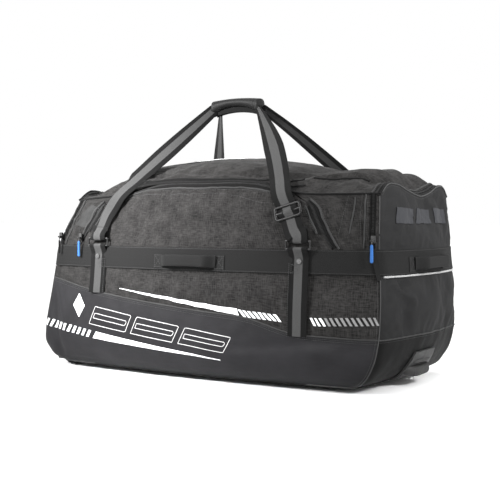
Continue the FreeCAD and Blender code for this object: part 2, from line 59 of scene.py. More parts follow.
# height, left half length, right half length, half width, side bulge, end bulge (mm)
SECTIONS = [
    (12, 432, 410, 200, 25, 6), (25, 468, 436, 208, 30, 10), (45, 488, 452, 213, 35, 14),
    (70, 500, 466, 216, 40, 16), (110, 498, 476, 215, 44, 19), (180, 487, 479, 210, 49, 23),
    (262, 474, 475, 203, 50, 26), (318, 464, 471, 200, 48, 26), (350, 448, 470, 198, 44, 24),
    (400, 421, 468, 192, 34, 16), (470, 392, 464, 184, 18, 8),
]
BASE_Z, FOLD_Z, SEAM_Z = 0.012, 0.349, 0.288
BAND = (0.262, 0.316)
COATED_SEAM = [(-500, 238), (-388, 218), (-289, 202), (-115, 183), (35, 169), (170, 157),
               (269, 131), (384, 124), (480, 123)]
KICK_SEAM_Z = 0.123
HEM_Z = 0.302          # upper panels start here, behind the band
EDGE_Z = [(-500, 430), (-330, 440), (-250, 446), (-170, 464), (0, 470), (170, 464),
          (250, 446), (330, 440), (500, 440)]
RIDGE_Z = [(-500, 437), (-380, 446), (-300, 489), (-247, 512), (-120, 525), (0, 528),
           (160, 513), (300, 494), (400, 487), (445, 466), (500, 440)]
ARCH = [(0, 1000), (400, 880), (750, 600), (900, 320), (1000, 0)]
END_TOP_Z = [(0, 437), (300, 449), (550, 461), (750, 463), (920, 450), (1000, 438)]
ZIP_LEG = [(316, 367), (350, 344), (385, 323), (418, 301), (444, 252), (464, 170), (480, 100)]
STRAP_X, STRAP_W, WEB = 0.290, 0.050, 0.0022
RING_LOW, RING_HIGH, RING_R = 0.317, 0.335, 0.0022
PANEL = 0.0035         # thickness of the padded fabric
TOP_SCALE = 0.46       # metres, roughly, for one step of the top sheet's u or s
SPAN_U = 0.455         # plan distance that one step of u stands for along the upper edge
CORNER_TOP_Z = 0.44    # where the walls' corners meet the top sheet
BAND_MIDDLE = 0.289
HANDLE_END = 0.088     # from the middle of a grab handle to its sewn end
SIDES = {"front": -1, "back": 1}
ENDS = {"right": 1, "left": -1}


def link(obj):
    bpy.context.scene.collection.objects.link(obj)


def unit(v):
    return v / np.linalg.norm(v, axis=-1, keepdims=True)


def smooth_table(table, column=1):
    """Smooth interpolation of a table in millimetres, as a function in metres."""
    xs = np.array([row[0] for row in table], float) * MM
    ys = np.array([row[column] for row in table], float) * MM
    slopes = np.gradient(ys, xs)
    secant = np.diff(ys) / np.diff(xs)
    for i in range(1, len(xs) - 1):
        if secant[i - 1] * secant[i] <= 0:
            slopes[i] = 0.0

    def value(x):
        x = np.clip(np.asarray(x, float), xs[0], xs[-1])
        i = np.clip(np.searchsorted(xs, x, side="right") - 1, 0, len(xs) - 2)
        step = xs[i + 1] - xs[i]
        t = (x - xs[i]) / step
        a, b = ys[i], ys[i + 1]
        c, d = slopes[i] * step, slopes[i + 1] * step
        return (a * (2 * t**3 - 3 * t**2 + 1) + c * (t**3 - 2 * t**2 + t)
                + b * (3 * t**2 - 2 * t**3) + d * (t**3 - t**2))
    return value


LEFT, RIGHT, HALF_W, BULGE_Y, BULGE_X = [smooth_table(SECTIONS, i) for i in range(1, 6)]
coated_seam, edge_z, ridge_z = [smooth_table(t) for t in (COATED_SEAM, EDGE_Z, RIDGE_Z)]
arch, end_top_z, zip_x = [smooth_table(t) for t in (ARCH, END_TOP_Z, ZIP_LEG)]
# height of the mouth zip at a distance from the middle, above its straight legs
leg_height = smooth_table(sorted((b, a) for a, b in ZIP_LEG[3:]))


def u_of(x, z):
    return (2 * x - RIGHT(z) + LEFT(z)) / (LEFT(z) + RIGHT(z))


def x_of(u, z):
    return (RIGHT(z) - LEFT(z)) / 2 + u * (LEFT(z) + RIGHT(z)) / 2


# ------------------------------------------------------------------ the skin sheets
CORNER_R = 0.016


def corner(share, r):
    """Round a corner: how far along and how far in a point sits, share 0..1 of the turn."""
    a = share * math.pi / 4
    return r * np.sin(a), r * (1 - np.cos(a))


def side_surface(u, z, which):
    half = (LEFT(z) + RIGHT(z)) / 2
    r = CORNER_R
    flat = 1 - r / half
    inside = np.minimum(np.abs(u), flat)
    share = np.clip((np.abs(u) - flat) / (1 - flat), 0, 1)
    step, drop = corner(share, r)
    x = (RIGHT(z) - LEFT(z)) / 2 + np.sign(u) * (inside * half + step)
    bulge = BULGE_Y(z) * (1 - inside**2) * (1 - share)
    return np.stack([x, which * (HALF_W(z) - drop + bulge), z], -1)


def soft_abs(v):
    """|v| without its sharp corner at 0."""
    return np.sqrt(v * v + 0.016) - math.sqrt(0.016) * (1 - np.abs(v))


def end_surface(v, z, which):
    half_w = HALF_W(z)
    r = CORNER_R
    flat = 1 - r / half_w
    inside = np.minimum(np.abs(v), flat)
    share = np.clip((np.abs(v) - flat) / (1 - flat), 0, 1)
    step, drop = corner(share, r)
    half = RIGHT(z) if which > 0 else LEFT(z)
    bulge = BULGE_X(z) * (1 - inside**2) * (1 - share)
    return np.stack([which * (half - drop + bulge), np.sign(v) * (inside * half_w + step), z], -1)


def top_surface(u, s):
    """The top sheet meets the walls' own upper edges on all four sides."""
    z_end = end_top_z(soft_abs(s))
    end_bulge = BULGE_X(z_end) * (1 - s**2)
    x_low, x_high = -(LEFT(z_end) + end_bulge), RIGHT(z_end) + end_bulge
    x = x_low + (x_high - x_low) * (u + 1) / 2
    z_edge = edge_z(x)
    y = s * (HALF_W(z_edge) + BULGE_Y(z_edge) * (1 - u**2))
    rise = arch(np.abs(s))
    z = z_edge * (1 - rise) + ridge_z(x) * rise
    near_end = np.clip((np.abs(u) - 0.8) / 0.2, 0, 1) ** 2
    return np.stack([x, y, z * (1 - near_end) + z_end * near_end], -1)


def fbm(points, scale, seed, octaves=3):
    """Soft fractal noise at points, about -1 to 1."""
    shift = Vector((seed * 7.3, seed * 3.1, seed * 1.7))
    flat = points.reshape(-1, 3)
    out = np.array([noise.fractal(Vector(p) * scale + shift, 0.6, 2.1, octaves) for p in flat])
    return out.reshape(points.shape[:-1])


def fold(a, b, start, finish, width, depth):
    """A crease or a welt along a segment of the (a, b) plane, soft at both ends."""
    start, finish = np.array(start, float), np.array(finish, float)
    run = finish - start
    t = ((a - start[0]) * run[0] + (b - start[1]) * run[1]) / (run @ run)
    tc = np.clip(t, 0, 1)
    dist = np.hypot(a - start[0] - tc * run[0], b - start[1] - tc * run[1])
    ends = np.clip(np.minimum(t + 0.15, 1.15 - t) / 0.3, 0, 1)
    return depth * np.exp(-(dist / width) ** 2) * ends


def hollow(a, b, centre, radii, depth):
    return depth * np.exp(-((a - centre[0]) / radii[0]) ** 2 - ((b - centre[1]) / radii[1]) ** 2)


class Skin:
    """A grid of points with normals that everything sewn to it is sampled from."""

    def __init__(self, points, outward):
        self.rows, self.cols = points.shape[:2]
        self.points = points
        self.outward = outward
        self.refresh()

    def refresh(self):
        across = np.gradient(self.points, axis=1)
        up = np.gradient(self.points, axis=0)
        n = np.cross(across, up)
        n /= np.linalg.norm(n, axis=-1, keepdims=True) + 1e-12
        middle = n[self.rows // 2, self.cols // 2]
        self.normals = n if middle @ np.array(self.outward) > 0 else -n

    def push(self, amount):
        self.points = self.points + self.normals * amount[..., None]
        self.refresh()

    def sample(self, array, a, b):
        """Bilinear sample at a, b in 0..1."""
        c = np.clip(a, 0, 1) * (self.cols - 1)
        r = np.clip(b, 0, 1) * (self.rows - 1)
        i, j = np.minimum(r.astype(int), self.rows - 2), np.minimum(c.astype(int), self.cols - 2)
        fr, fc = (r - i)[..., None], (c - j)[..., None]
        return ((array[i, j] * (1 - fc) + array[i, j + 1] * fc) * (1 - fr)
                + (array[i + 1, j] * (1 - fc) + array[i + 1, j + 1] * fc) * fr)

    def at(self, a, b, k):
        n = unit(self.sample(self.normals, a, b))
        return self.sample(self.points, a, b) + n * np.asarray(k)[..., None], n


def wall_z(h, top):
    return BASE_Z + (top - BASE_Z) * h


def make_side_skin(which):
    u, h = np.meshgrid(np.linspace(-1, 1, 181), np.linspace(0, 1, 101))
    z = wall_z(h, edge_z(u * SPAN_U))
    return Skin(side_surface(u, z, which), (0, which, 0))


def make_end_skin(which):
    v, h = np.meshgrid(np.linspace(-1, 1, 91), np.linspace(0, 1, 101))
    z = wall_z(h, end_top_z(soft_abs(v)))
    return Skin(end_surface(v, z, which), (which, 0, 0))


def make_top_skin():
    u, s = np.meshgrid(np.linspace(-1, 1, 181), np.linspace(-1, 1, 91))
    return Skin(top_surface(u, s), (0, 0, 1))


SKINS = {
    "front": make_side_skin(-1), "back": make_side_skin(1),
    "right": make_end_skin(1), "left": make_end_skin(-1), "top": make_top_skin(),
}


def to_ab(side, x, z):
    """Sheet coordinates 0..1 of a place: (x, z) on a side, (y, z) on an end, (u, s) on top."""
    x, z = np.asarray(x, float), np.asarray(z, float)
    if side == "top":
        return (x + 1) / 2, (z + 1) / 2
    if side in SIDES:
        u = u_of(x, z)
        return (u + 1) / 2, (z - BASE_Z) / (edge_z(u * SPAN_U) - BASE_Z)
    v = x / HALF_W(z)
    return (v + 1) / 2, (z - BASE_Z) / (end_top_z(soft_abs(v)) - BASE_Z)


def on_skin(side, x, z, k=0.0):
    a, b = to_ab(side, x, z)
    return SKINS[side].at(a, b, np.broadcast_to(np.asarray(k, float), a.shape))


def calm_near_band(z):
    """0 on the webbing band, 1 away from it."""
    return 1 - np.exp(-((z - BAND_MIDDLE) / 0.030) ** 2)


def rise_over(values, start, width):
    """0 below start, 1 above start + width."""
    return np.clip((values - start) / width, 0, 1)


def shape_sides():
    for side in SIDES:
        skin = SKINS[side]
        x, z = skin.points[..., 0], skin.points[..., 2]
        edge = rise_over(1 - np.abs(u_of(x, z)), 0, 0.06) * rise_over(z, 0.012, 0.03)
        upper = rise_over(z, 0.32, 0.04) * rise_over(edge_z(x) - z, 0, 0.02)
        lower = rise_over(0.262 - z, 0, 0.05)
        gusset = rise_over(np.abs(x) - zip_x(z), 0, 0.03) * upper
        d = fbm(skin.points, 5.0, 1 if side == "front" else 2) * 0.0030 * (lower + upper)
        d += fbm(skin.points, 30.0, 4, 3) * 0.0012 * gusset
        for start, finish, width, depth in SIDE_FOLDS:
            d += fold(x, z, start, finish, width, depth)
        d += hollow(x, z, (0.38, 0.215), (0.045, 0.03), -0.005)
        d += hollow(x, z, (-0.45, 0.165), (0.03, 0.06), -0.004)
        skin.push(d * edge * calm_near_band(z))


# start, finish, width and depth of the folds that the fabric has settled into
SIDE_FOLDS = [
    ((0.415, 0.345), (0.432, 0.425), 0.007, 0.0045), ((0.372, 0.345), (0.388, 0.44), 0.006, -0.0035),
    ((-0.40, 0.345), (-0.36, 0.43), 0.007, 0.004), ((-0.37, 0.345), (-0.335, 0.40), 0.006, -0.003),
    ((-0.475, 0.20), (-0.43, 0.03), 0.012, -0.004), ((0.30, 0.10), (0.46, 0.05), 0.02, 0.004),
    ((0.10, 0.085), (0.40, 0.118), 0.014, -0.003), ((-0.46, 0.235), (-0.40, 0.09), 0.010, 0.003),
    ((0.24, 0.235), (0.24, 0.16), 0.008, -0.003), ((0.335, 0.24), (0.345, 0.16), 0.009, 0.003),
]
FLAP_SEAM = [(-0.30, 0.421), (-0.17, 0.442), (-0.039, 0.445), (0.062, 0.446), (0.113, 0.440),
             (0.182, 0.422), (0.235, 0.421), (0.29, 0.416)]


def shape_ends():
    for side in ENDS:
        skin = SKINS[side]
        y, z = skin.points[..., 1], skin.points[..., 2]
        v = np.abs(y / HALF_W(z))
        edge = rise_over(1 - v, 0, 0.1) * rise_over(z, 0.012, 0.04) * rise_over(end_top_z(v) - z, 0, 0.02)
        d = fbm(skin.points, 6.0, 5) * 0.004 + fbm(skin.points, 18.0, 6) * 0.0012
        d += hollow(y, z, (-0.13, 0.235), (0.030, 0.026), -0.011)
        d += fold(y, z, (-0.165, 0.245), (-0.085, 0.20), 0.011, 0.008)
        d += fold(y, z, (-0.11, 0.25), (-0.12, 0.14), 0.02, -0.005)
        d += fold(y, z, (0.02, 0.25), (0.03, 0.14), 0.03, 0.004)
        d += hollow(y, z, (0.0, 0.40), (0.09, 0.05), -0.004)
        skin.push(d * edge * calm_near_band(z))


def shape_top():
    skin = SKINS["top"]
    u, s = np.meshgrid(np.linspace(-1, 1, skin.cols), np.linspace(-1, 1, skin.rows))
    x, y = skin.points[..., 0], skin.points[..., 1]
    edge = rise_over(1 - np.abs(u), 0, 0.05) * rise_over(1 - np.abs(s), 0, 0.06)
    d = fbm(skin.points, 6.0, 8) * 0.005
    for flip in (-1, 1):
        d += fold(x, y, (0.27, 0.165 * flip), (0.44, 0.10 * flip), 0.012, 0.010)
        d += fold(x, y, (0.27, 0.135 * flip), (0.44, 0.06 * flip), 0.012, -0.010)
        d += fold(x, y, (0.25, 0.10 * flip), (0.43, 0.02 * flip), 0.014, 0.006)
        d += fold(x, y, (-0.26, 0.165 * flip), (-0.38, 0.12 * flip), 0.012, 0.006)
        d += hollow(x, y, (-0.335, 0.155 * flip), (0.045, 0.018), -0.014)
    d += fold(x, y, (-0.25, -0.170), (0.02, -0.180), 0.006, -0.005)
    d += fold(x, y, (0.02, -0.180), (0.28, -0.165), 0.006, -0.005)
    skin.push(d * edge)


shape_sides()
shape_ends()
shape_top()


# ------------------------------------------------------------------ the cloth's own wrinkles
CLOTH_FRAMES, CLOTH_CAP = 18, 0.009


def settle(side, hold, slack, pressure):
    """Let a sheet buckle between its seams: hold is 1 where it is sewn down, slack is extra cloth."""
    skin = SKINS[side]
    rows, cols = skin.rows, skin.cols
    faces = [(i * cols + j, i * cols + j + 1, (i + 1) * cols + j + 1, (i + 1) * cols + j)
             for i in range(rows - 1) for j in range(cols - 1)]
    mesh = bpy.data.meshes.new("cloth_" + side)
    mesh.from_pydata(skin.points.reshape(-1, 3).tolist(), [], faces)
    obj = bpy.data.objects.new("cloth_" + side, mesh)
    link(obj)
    pins = obj.vertex_groups.new(name="sewn")
    for level in (1.0, 0.6, 0.25):
        chosen = np.flatnonzero(np.abs(np.round(hold.ravel() / level, 1) - 1) < 0.2)
        pins.add(chosen.tolist(), level, "REPLACE")
    cloth = obj.modifiers.new("cloth", "CLOTH")
    cloth.settings.quality = 5
    cloth.settings.mass = 0.25
    cloth.settings.tension_stiffness = cloth.settings.compression_stiffness = 18
    cloth.settings.shear_stiffness = 6
    cloth.settings.bending_stiffness = 0.35
    cloth.settings.air_damping = 2.0
    cloth.settings.vertex_group_mass = "sewn"
    cloth.settings.shrink_min = -slack
    cloth.settings.use_pressure = True
    cloth.settings.uniform_pressure_force = pressure
    cloth.settings.effector_weights.gravity = 0.0
    cloth.collision_settings.use_collision = False
    cloth.point_cache.frame_start, cloth.point_cache.frame_end = 1, CLOTH_FRAMES
    for number in range(1, CLOTH_FRAMES + 1):
        bpy.context.scene.frame_set(number)
    result = obj.evaluated_get(bpy.context.evaluated_depsgraph_get()).data
    co = np.empty(rows * cols * 3)
    result.vertices.foreach_get("co", co)
    bpy.data.objects.remove(obj)
    bpy.context.scene.frame_set(1)
    moved = co.reshape(rows, cols, 3) - skin.points
    size = np.linalg.norm(moved, axis=-1, keepdims=True)
    limit = CLOTH_CAP * np.tanh(size / CLOTH_CAP) / np.maximum(size, 1e-9)
    free = (1 - hold)[..., None]
    skin.points = skin.points + moved * limit * free
    skin.refresh()


def side_hold(side):
    """Sewn places of a side sheet: its borders, the band, the strap foot, zips and seams."""
    skin = SKINS[side]
    x, z = skin.points[..., 0], skin.points[..., 2]
    hold = np.zeros(x.shape)
    hold[:2], hold[-2:], hold[:, :2], hold[:, -2:] = 1, 1, 1, 1
    hold[(z > BAND[0] - 0.004) & (z < BAND[1] + 0.012)] = 1
    hold[(np.abs(np.abs(x) - STRAP_X) < 0.027) & (z < BAND[1]) & (z > coated_seam(x))] = 1
    hold[np.abs(z - coated_seam(x)) < 0.003] = 1
    if side == "front":
        hold[(np.abs(np.abs(x) - zip_x(z)) < 0.010) & (z > BAND[1]) & (z < 0.42)] = 1
        hold[(np.abs(z - FOLD_Z) < 0.003)] = 1
        hold[edge_z(x) - z < 0.012] = 1
    hold[(z < coated_seam(x)) & (hold < 1)] = 0.6
    return hold


def border_hold(side):
    hold = np.zeros((SKINS[side].rows, SKINS[side].cols))
    hold[:3], hold[-3:], hold[:, :3], hold[:, -3:] = 1, 1, 1, 1
    z = SKINS[side].points[..., 2]
    if side != "top":
        hold[(z > BAND[0] - 0.006) & (z < BAND[1] + 0.006)] = 1
        hold[np.abs(z - FOLD_Z) < 0.003] = 1
        hold[z < KICK_SEAM_Z] = 0.6
    return hold


for name in SIDES:
    settle(name, side_hold(name), 0.030, 0.6)
for name in ENDS:
    settle(name, border_hold(name), 0.022, 0.6)
settle("top", border_hold("top"), 0.030, 0.4)
x_grid, z_grid = SKINS["front"].points[..., 0], SKINS["front"].points[..., 2]
for a, b in zip(FLAP_SEAM, FLAP_SEAM[1:]):
    SKINS["front"].push(fold(x_grid, z_grid, a, b, 0.004, -0.0016))


# ------------------------------------------------------------------ meshes
SHARP = math.radians(50)


def slumped(points):
    """The empty left end sags a little at its upper corners; every piece there moves with it."""
    share = rise_over(points[:, 2], 0.37, 0.075) * rise_over(-points[:, 0], 0.34, 0.13)
    share = share * share * (3 - 2 * share)
    return points + share[:, None] * np.array([0.011, 0, -0.013])


def new_object(name, verts, faces, uvs=None):
    mesh = bpy.data.meshes.new(name)
    mesh.from_pydata([tuple(v) for v in slumped(np.asarray(verts, float))], [], faces)
    if uvs is not None:
        layer = mesh.uv_layers.new(name="UVMap")
        index = np.zeros(len(mesh.loops), int)
        mesh.loops.foreach_get("vertex_index", index)
        layer.data.foreach_set("uv", np.asarray(uvs, float)[index].ravel())
    mesh.update()
    for p in mesh.polygons:
        p.use_smooth = True
    obj = bpy.data.objects.new(name, mesh)
    link(obj)
    return obj


def put(obj, mats, body, slot, *nodes):
    """Give a piece its materials and its body if it rides on only one, and hide the CAD nodes it stands for.
    slot is not used.
    """
    for mat in mats if isinstance(mats, (list, tuple)) else [mats]:
        obj.data.materials.append(mat)
    if body:
        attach(obj, body)
    if nodes:
        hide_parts(*nodes)
    return obj


def lengths_uv(points):
    """UV in metres along the rows and columns of a grid."""
    du = np.linalg.norm(np.diff(points, axis=1), axis=-1).mean(0)
    dv = np.linalg.norm(np.diff(points, axis=0), axis=-1).mean(1)
    u = np.concatenate([[0], np.cumsum(du)])
    v = np.concatenate([[0], np.cumsum(dv)])
    uu, vv = np.meshgrid(u, v)
    return np.stack([uu, vv], -1)


def shell(name, outer, inner, uv=None, keep=None):
    """Closed solid between two grids of the same size. The inner face uses material 1.

    keep is a mask of the cells that stay, where the solid has holes.
    """
    rows, cols = outer.shape[:2]
    size = rows * cols
    keep = np.ones((rows - 1, cols - 1), bool) if keep is None else keep
    corners = [(int(i) * cols + int(j)) for i, j in np.argwhere(keep)]
    faces = [(a, a + 1, a + cols + 1, a + cols) for a in corners]
    inside = [tuple(size + v for v in reversed(f)) for f in faces]
    edges = {pair for f in faces for pair in zip(f, f[1:] + f[:1])}
    rim = [(b, a, a + size, b + size) for a, b in edges if (b, a) not in edges]
    verts = np.concatenate([outer.reshape(-1, 3), inner.reshape(-1, 3)])
    uv = lengths_uv(outer) if uv is None else uv
    uvs = np.concatenate([uv.reshape(-1, 2)] * 2)
    used = np.unique(np.array(faces + inside + rim))
    place = np.zeros(2 * size, int)
    place[used] = np.arange(len(used))
    faces, inside, rim = [[tuple(place[v] for v in f) for f in part] for part in (faces, inside, rim)]
    obj = solid(name, verts[used], faces + inside + rim, uvs[used])
    index = [0] * len(faces) + [1] * len(inside) + [0] * len(rim)
    obj.data.polygons.foreach_set("material_index", index)
    return obj


def turn_outward(obj):
    """Flip a closed mesh whose faces look inward."""
    mesh = obj.data
    mesh.calc_loop_triangles()
    corners = np.empty(len(mesh.loop_triangles) * 3, int)
    mesh.loop_triangles.foreach_get("vertices", corners)
    co = np.empty(len(mesh.vertices) * 3)
    mesh.vertices.foreach_get("co", co)
    tri = co.reshape(-1, 3)[corners.reshape(-1, 3)]
    if np.einsum("ij,ij->", tri[:, 0], np.cross(tri[:, 1], tri[:, 2])) < 0:
        mesh.flip_normals()


def solid(name, verts, faces, uvs=None, sharp=SHARP):
    """Closed mesh with its faces outward and its hard edges marked."""
    obj = new_object(name, verts, faces, uvs)
    turn_outward(obj)
    obj.data.set_sharp_from_angle(angle=sharp)
    return obj


def tube(name, verts, uv):
    """Closed solid through rings of points, capped at both ends."""
    n, m = verts.shape[:2]
    faces = [(i * m + j, i * m + (j + 1) % m, (i + 1) * m + (j + 1) % m, (i + 1) * m + j)
             for i in range(n - 1) for j in range(m)]
    faces += [tuple(range(m - 1, -1, -1)), tuple((n - 1) * m + j for j in range(m))]
    return solid(name, verts.reshape(-1, 3), faces, uv.reshape(-1, 2))


def distance_along(points):
    """Length from the first point to each point of a line."""
    return np.concatenate([[0], np.cumsum(np.linalg.norm(np.diff(points, axis=0), axis=1))])


def loft(name, rings):
    """Closed solid through rings of points. UV: round the middle ring, along the solid."""
    rings = np.asarray(rings, float)
    middle = rings[len(rings) // 2]
    around = np.cumsum(np.linalg.norm(middle - np.roll(middle, 1, axis=0), axis=1))
    return tube(name, rings, np.stack(np.meshgrid(around, distance_along(rings.mean(1))), -1))


def fill_rows(rows, n, m):
    """Spread rows of (a, b) points over an n by m grid, straight from row to row."""
    even = np.array([resample(row, n) for row in rows])
    gaps = np.linalg.norm(np.diff(even, axis=0), axis=-1).mean(1)
    at = np.concatenate([[0], np.cumsum(gaps)]) / gaps.sum()
    t = np.linspace(0, 1, m)
    out = np.empty((m, n, 2))
    for i in range(n):
        for c in (0, 1):
            out[:, i, c] = np.interp(t, at, even[:, i, c])
    return out


def patch(name, side, rows, k=0.0, thick=PANEL, pitch=0.006, puff=0.0, hole=None):
    """A piece of the skin: rows of sheet places, k outside it, thick, and puffed in its middle.

    hole tells which points are cut away.
    """
    scale = TOP_SCALE if side == "top" else 1.0
    wide = max(np.linalg.norm(np.array(r[0]) - np.array(r[-1])) for r in rows) * scale
    tall = np.linalg.norm(np.array(rows[0][0]) - np.array(rows[-1][0])) * scale
    n, m = max(3, int(wide / pitch)), max(3, int(tall / pitch))
    grid = fill_rows(rows, n, m)
    i, j = np.meshgrid(np.linspace(-1, 1, n), np.linspace(-1, 1, m))
    crown = puff * (1 - i**4) * (1 - j**4)
    outer, _ = on_skin(side, grid[..., 0], grid[..., 1], k + crown)
    inner, _ = on_skin(side, grid[..., 0], grid[..., 1], k - thick + crown * 0.5)
    keep = None if hole is None else ~hole((outer[:-1, :-1] + outer[1:, 1:]) / 2)
    return shell(name, outer, inner, keep=keep)


def level(side, z):
    """A row at one height, from corner to corner of a wall."""
    if side in SIDES:
        return [(float(x_of(u, z)), z) for u in np.linspace(-1, 1, 41)]
    return [(v * float(HALF_W(z)), z) for v in np.linspace(-1, 1, 21)]


def curve_row(function, u0=-1.0, u1=1.0, n=61, drop=0.0):
    row = []
    for u in np.linspace(u0, u1, n):
        z = float(function(u * 0.47)) - drop
        row.append((float(x_of(u, z)), z))
    return row


def resample(points, count):
    """The same line with evenly spaced points."""
    points = np.array(points, float)
    at = distance_along(points)
    t = np.linspace(0, at[-1], count)
    return np.stack([np.interp(t, at, points[:, i]) for i in range(points.shape[1])], -1)


def rounded(points, count):
    """Catmull-Rom curve through points, evenly resampled."""
    p = np.array(points, float)
    p = np.vstack([2 * p[0] - p[1], p, 2 * p[-1] - p[-2]])
    out = []
    for a, b, c, d in zip(p, p[1:], p[2:], p[3:]):
        for t in np.linspace(0, 1, 12, endpoint=False):
            out.append(0.5 * (2 * b + (c - a) * t + (2 * a - 5 * b + 4 * c - d) * t * t
                              + (3 * b - a - 3 * c + d) * t**3))
    out.append(p[-2])
    return resample(out, count)


def frames(centre, outward):
    """Run, width and outward directions along a line."""
    run = unit(np.gradient(centre, axis=0))
    out = unit(outward - run * np.sum(outward * run, axis=1, keepdims=True))
    return run, np.cross(run, out), out


def sweep_uv(centre, profile):
    """UV in metres: along the line, across the profile."""
    return np.stack(np.meshgrid(distance_along(centre), profile[:, 0], indexing="ij"), -1)


def sweep(name, centre, outward, profile, widths=None):
    """Sweep a closed (across, out) profile along a line. UV: along the line, round the profile."""
    _, across, out = frames(centre, outward)
    profile = np.array(profile, float)
    widths = np.ones(len(centre)) if widths is None else widths
    verts = (centre[:, None] + across[:, None] * profile[None, :, 0:1] * widths[:, None, None]
             + out[:, None] * profile[None, :, 1:2])
    return tube(name, verts, sweep_uv(centre, profile))


def flat_profile(width, thick, crown=0.0, cells=10):
    """Webbing section: flat, with slightly thinner selvedges."""
    xs = np.linspace(-0.5, 0.5, cells + 1) * width
    edge = 1 - np.abs(xs * 2 / width) ** 8 * 0.55
    rise = crown * (1 - (xs * 2 / width) ** 2)
    top = [(x, rise[i] + thick / 2 * edge[i]) for i, x in enumerate(xs)]
    low = [(x, rise[i] - thick / 2 * edge[i]) for i, x in reversed(list(enumerate(xs)))]
    return top + low


def round_profile(radius, count=8, flat=1.0):
    angles = [2 * math.pi * i / count for i in range(count)]
    return [(radius * math.cos(a), radius * flat * math.sin(a)) for a in angles]


def skin_line(side, points, k=0.0, pitch=0.006, smooth=True):
    """A line on the skin: its places and the skin's normals there."""
    scale = TOP_SCALE if side == "top" else 1.0
    rough = np.array(points, float)
    length = np.linalg.norm(np.diff(rough, axis=0), axis=1).sum() * scale
    count = max(4, int(length / pitch))
    line = rounded(rough, count) if smooth and len(rough) > 2 else resample(rough, count)
    return on_skin(side, line[:, 0], line[:, 1], k)


def cord_on(name, side, points, radius, k, flat=1.0, smooth=True):
    centre, normal = skin_line(side, points, k, smooth=smooth)
    return sweep(name, centre, normal, round_profile(radius, 8, flat))


def boxes(name, centres, run, across, out, size):
    """Many small boxes in one mesh, such as stitches or zip teeth."""
    corners = np.array([(a, b, c) for a in (-0.5, 0.5) for b in (-0.5, 0.5) for c in (-0.5, 0.5)])
    corners = corners * np.array(size)
    verts = (centres[:, None] + run[:, None] * corners[None, :, 0:1]
             + across[:, None] * corners[None, :, 1:2] + out[:, None] * corners[None, :, 2:3])
    quads = [(0, 1, 3, 2), (4, 6, 7, 5), (0, 4, 5, 1), (2, 3, 7, 6), (0, 2, 6, 4), (1, 5, 7, 3)]
    faces = [tuple(8 * i + v for v in q) for i in range(len(centres)) for q in quads]
    uv = np.repeat(centres[:, :2], 8, 0)
    obj = new_object(name, verts.reshape(-1, 3), faces, uv)
    turn_outward(obj)
    for p in obj.data.polygons:
        p.use_smooth = False
    return obj


def join(name, objects):
    """Join meshes into the first one."""
    objects = list(objects)
    with bpy.context.temp_override(active_object=objects[0], selected_editable_objects=objects,
                                   selected_objects=objects, object=objects[0]):
        bpy.ops.object.join()
    objects[0].name = name
    objects[0].data.name = name
    return objects[0]


STITCH_PITCH, STITCH_SIZE = 0.0042, (0.0028, 0.0007, 0.0006)


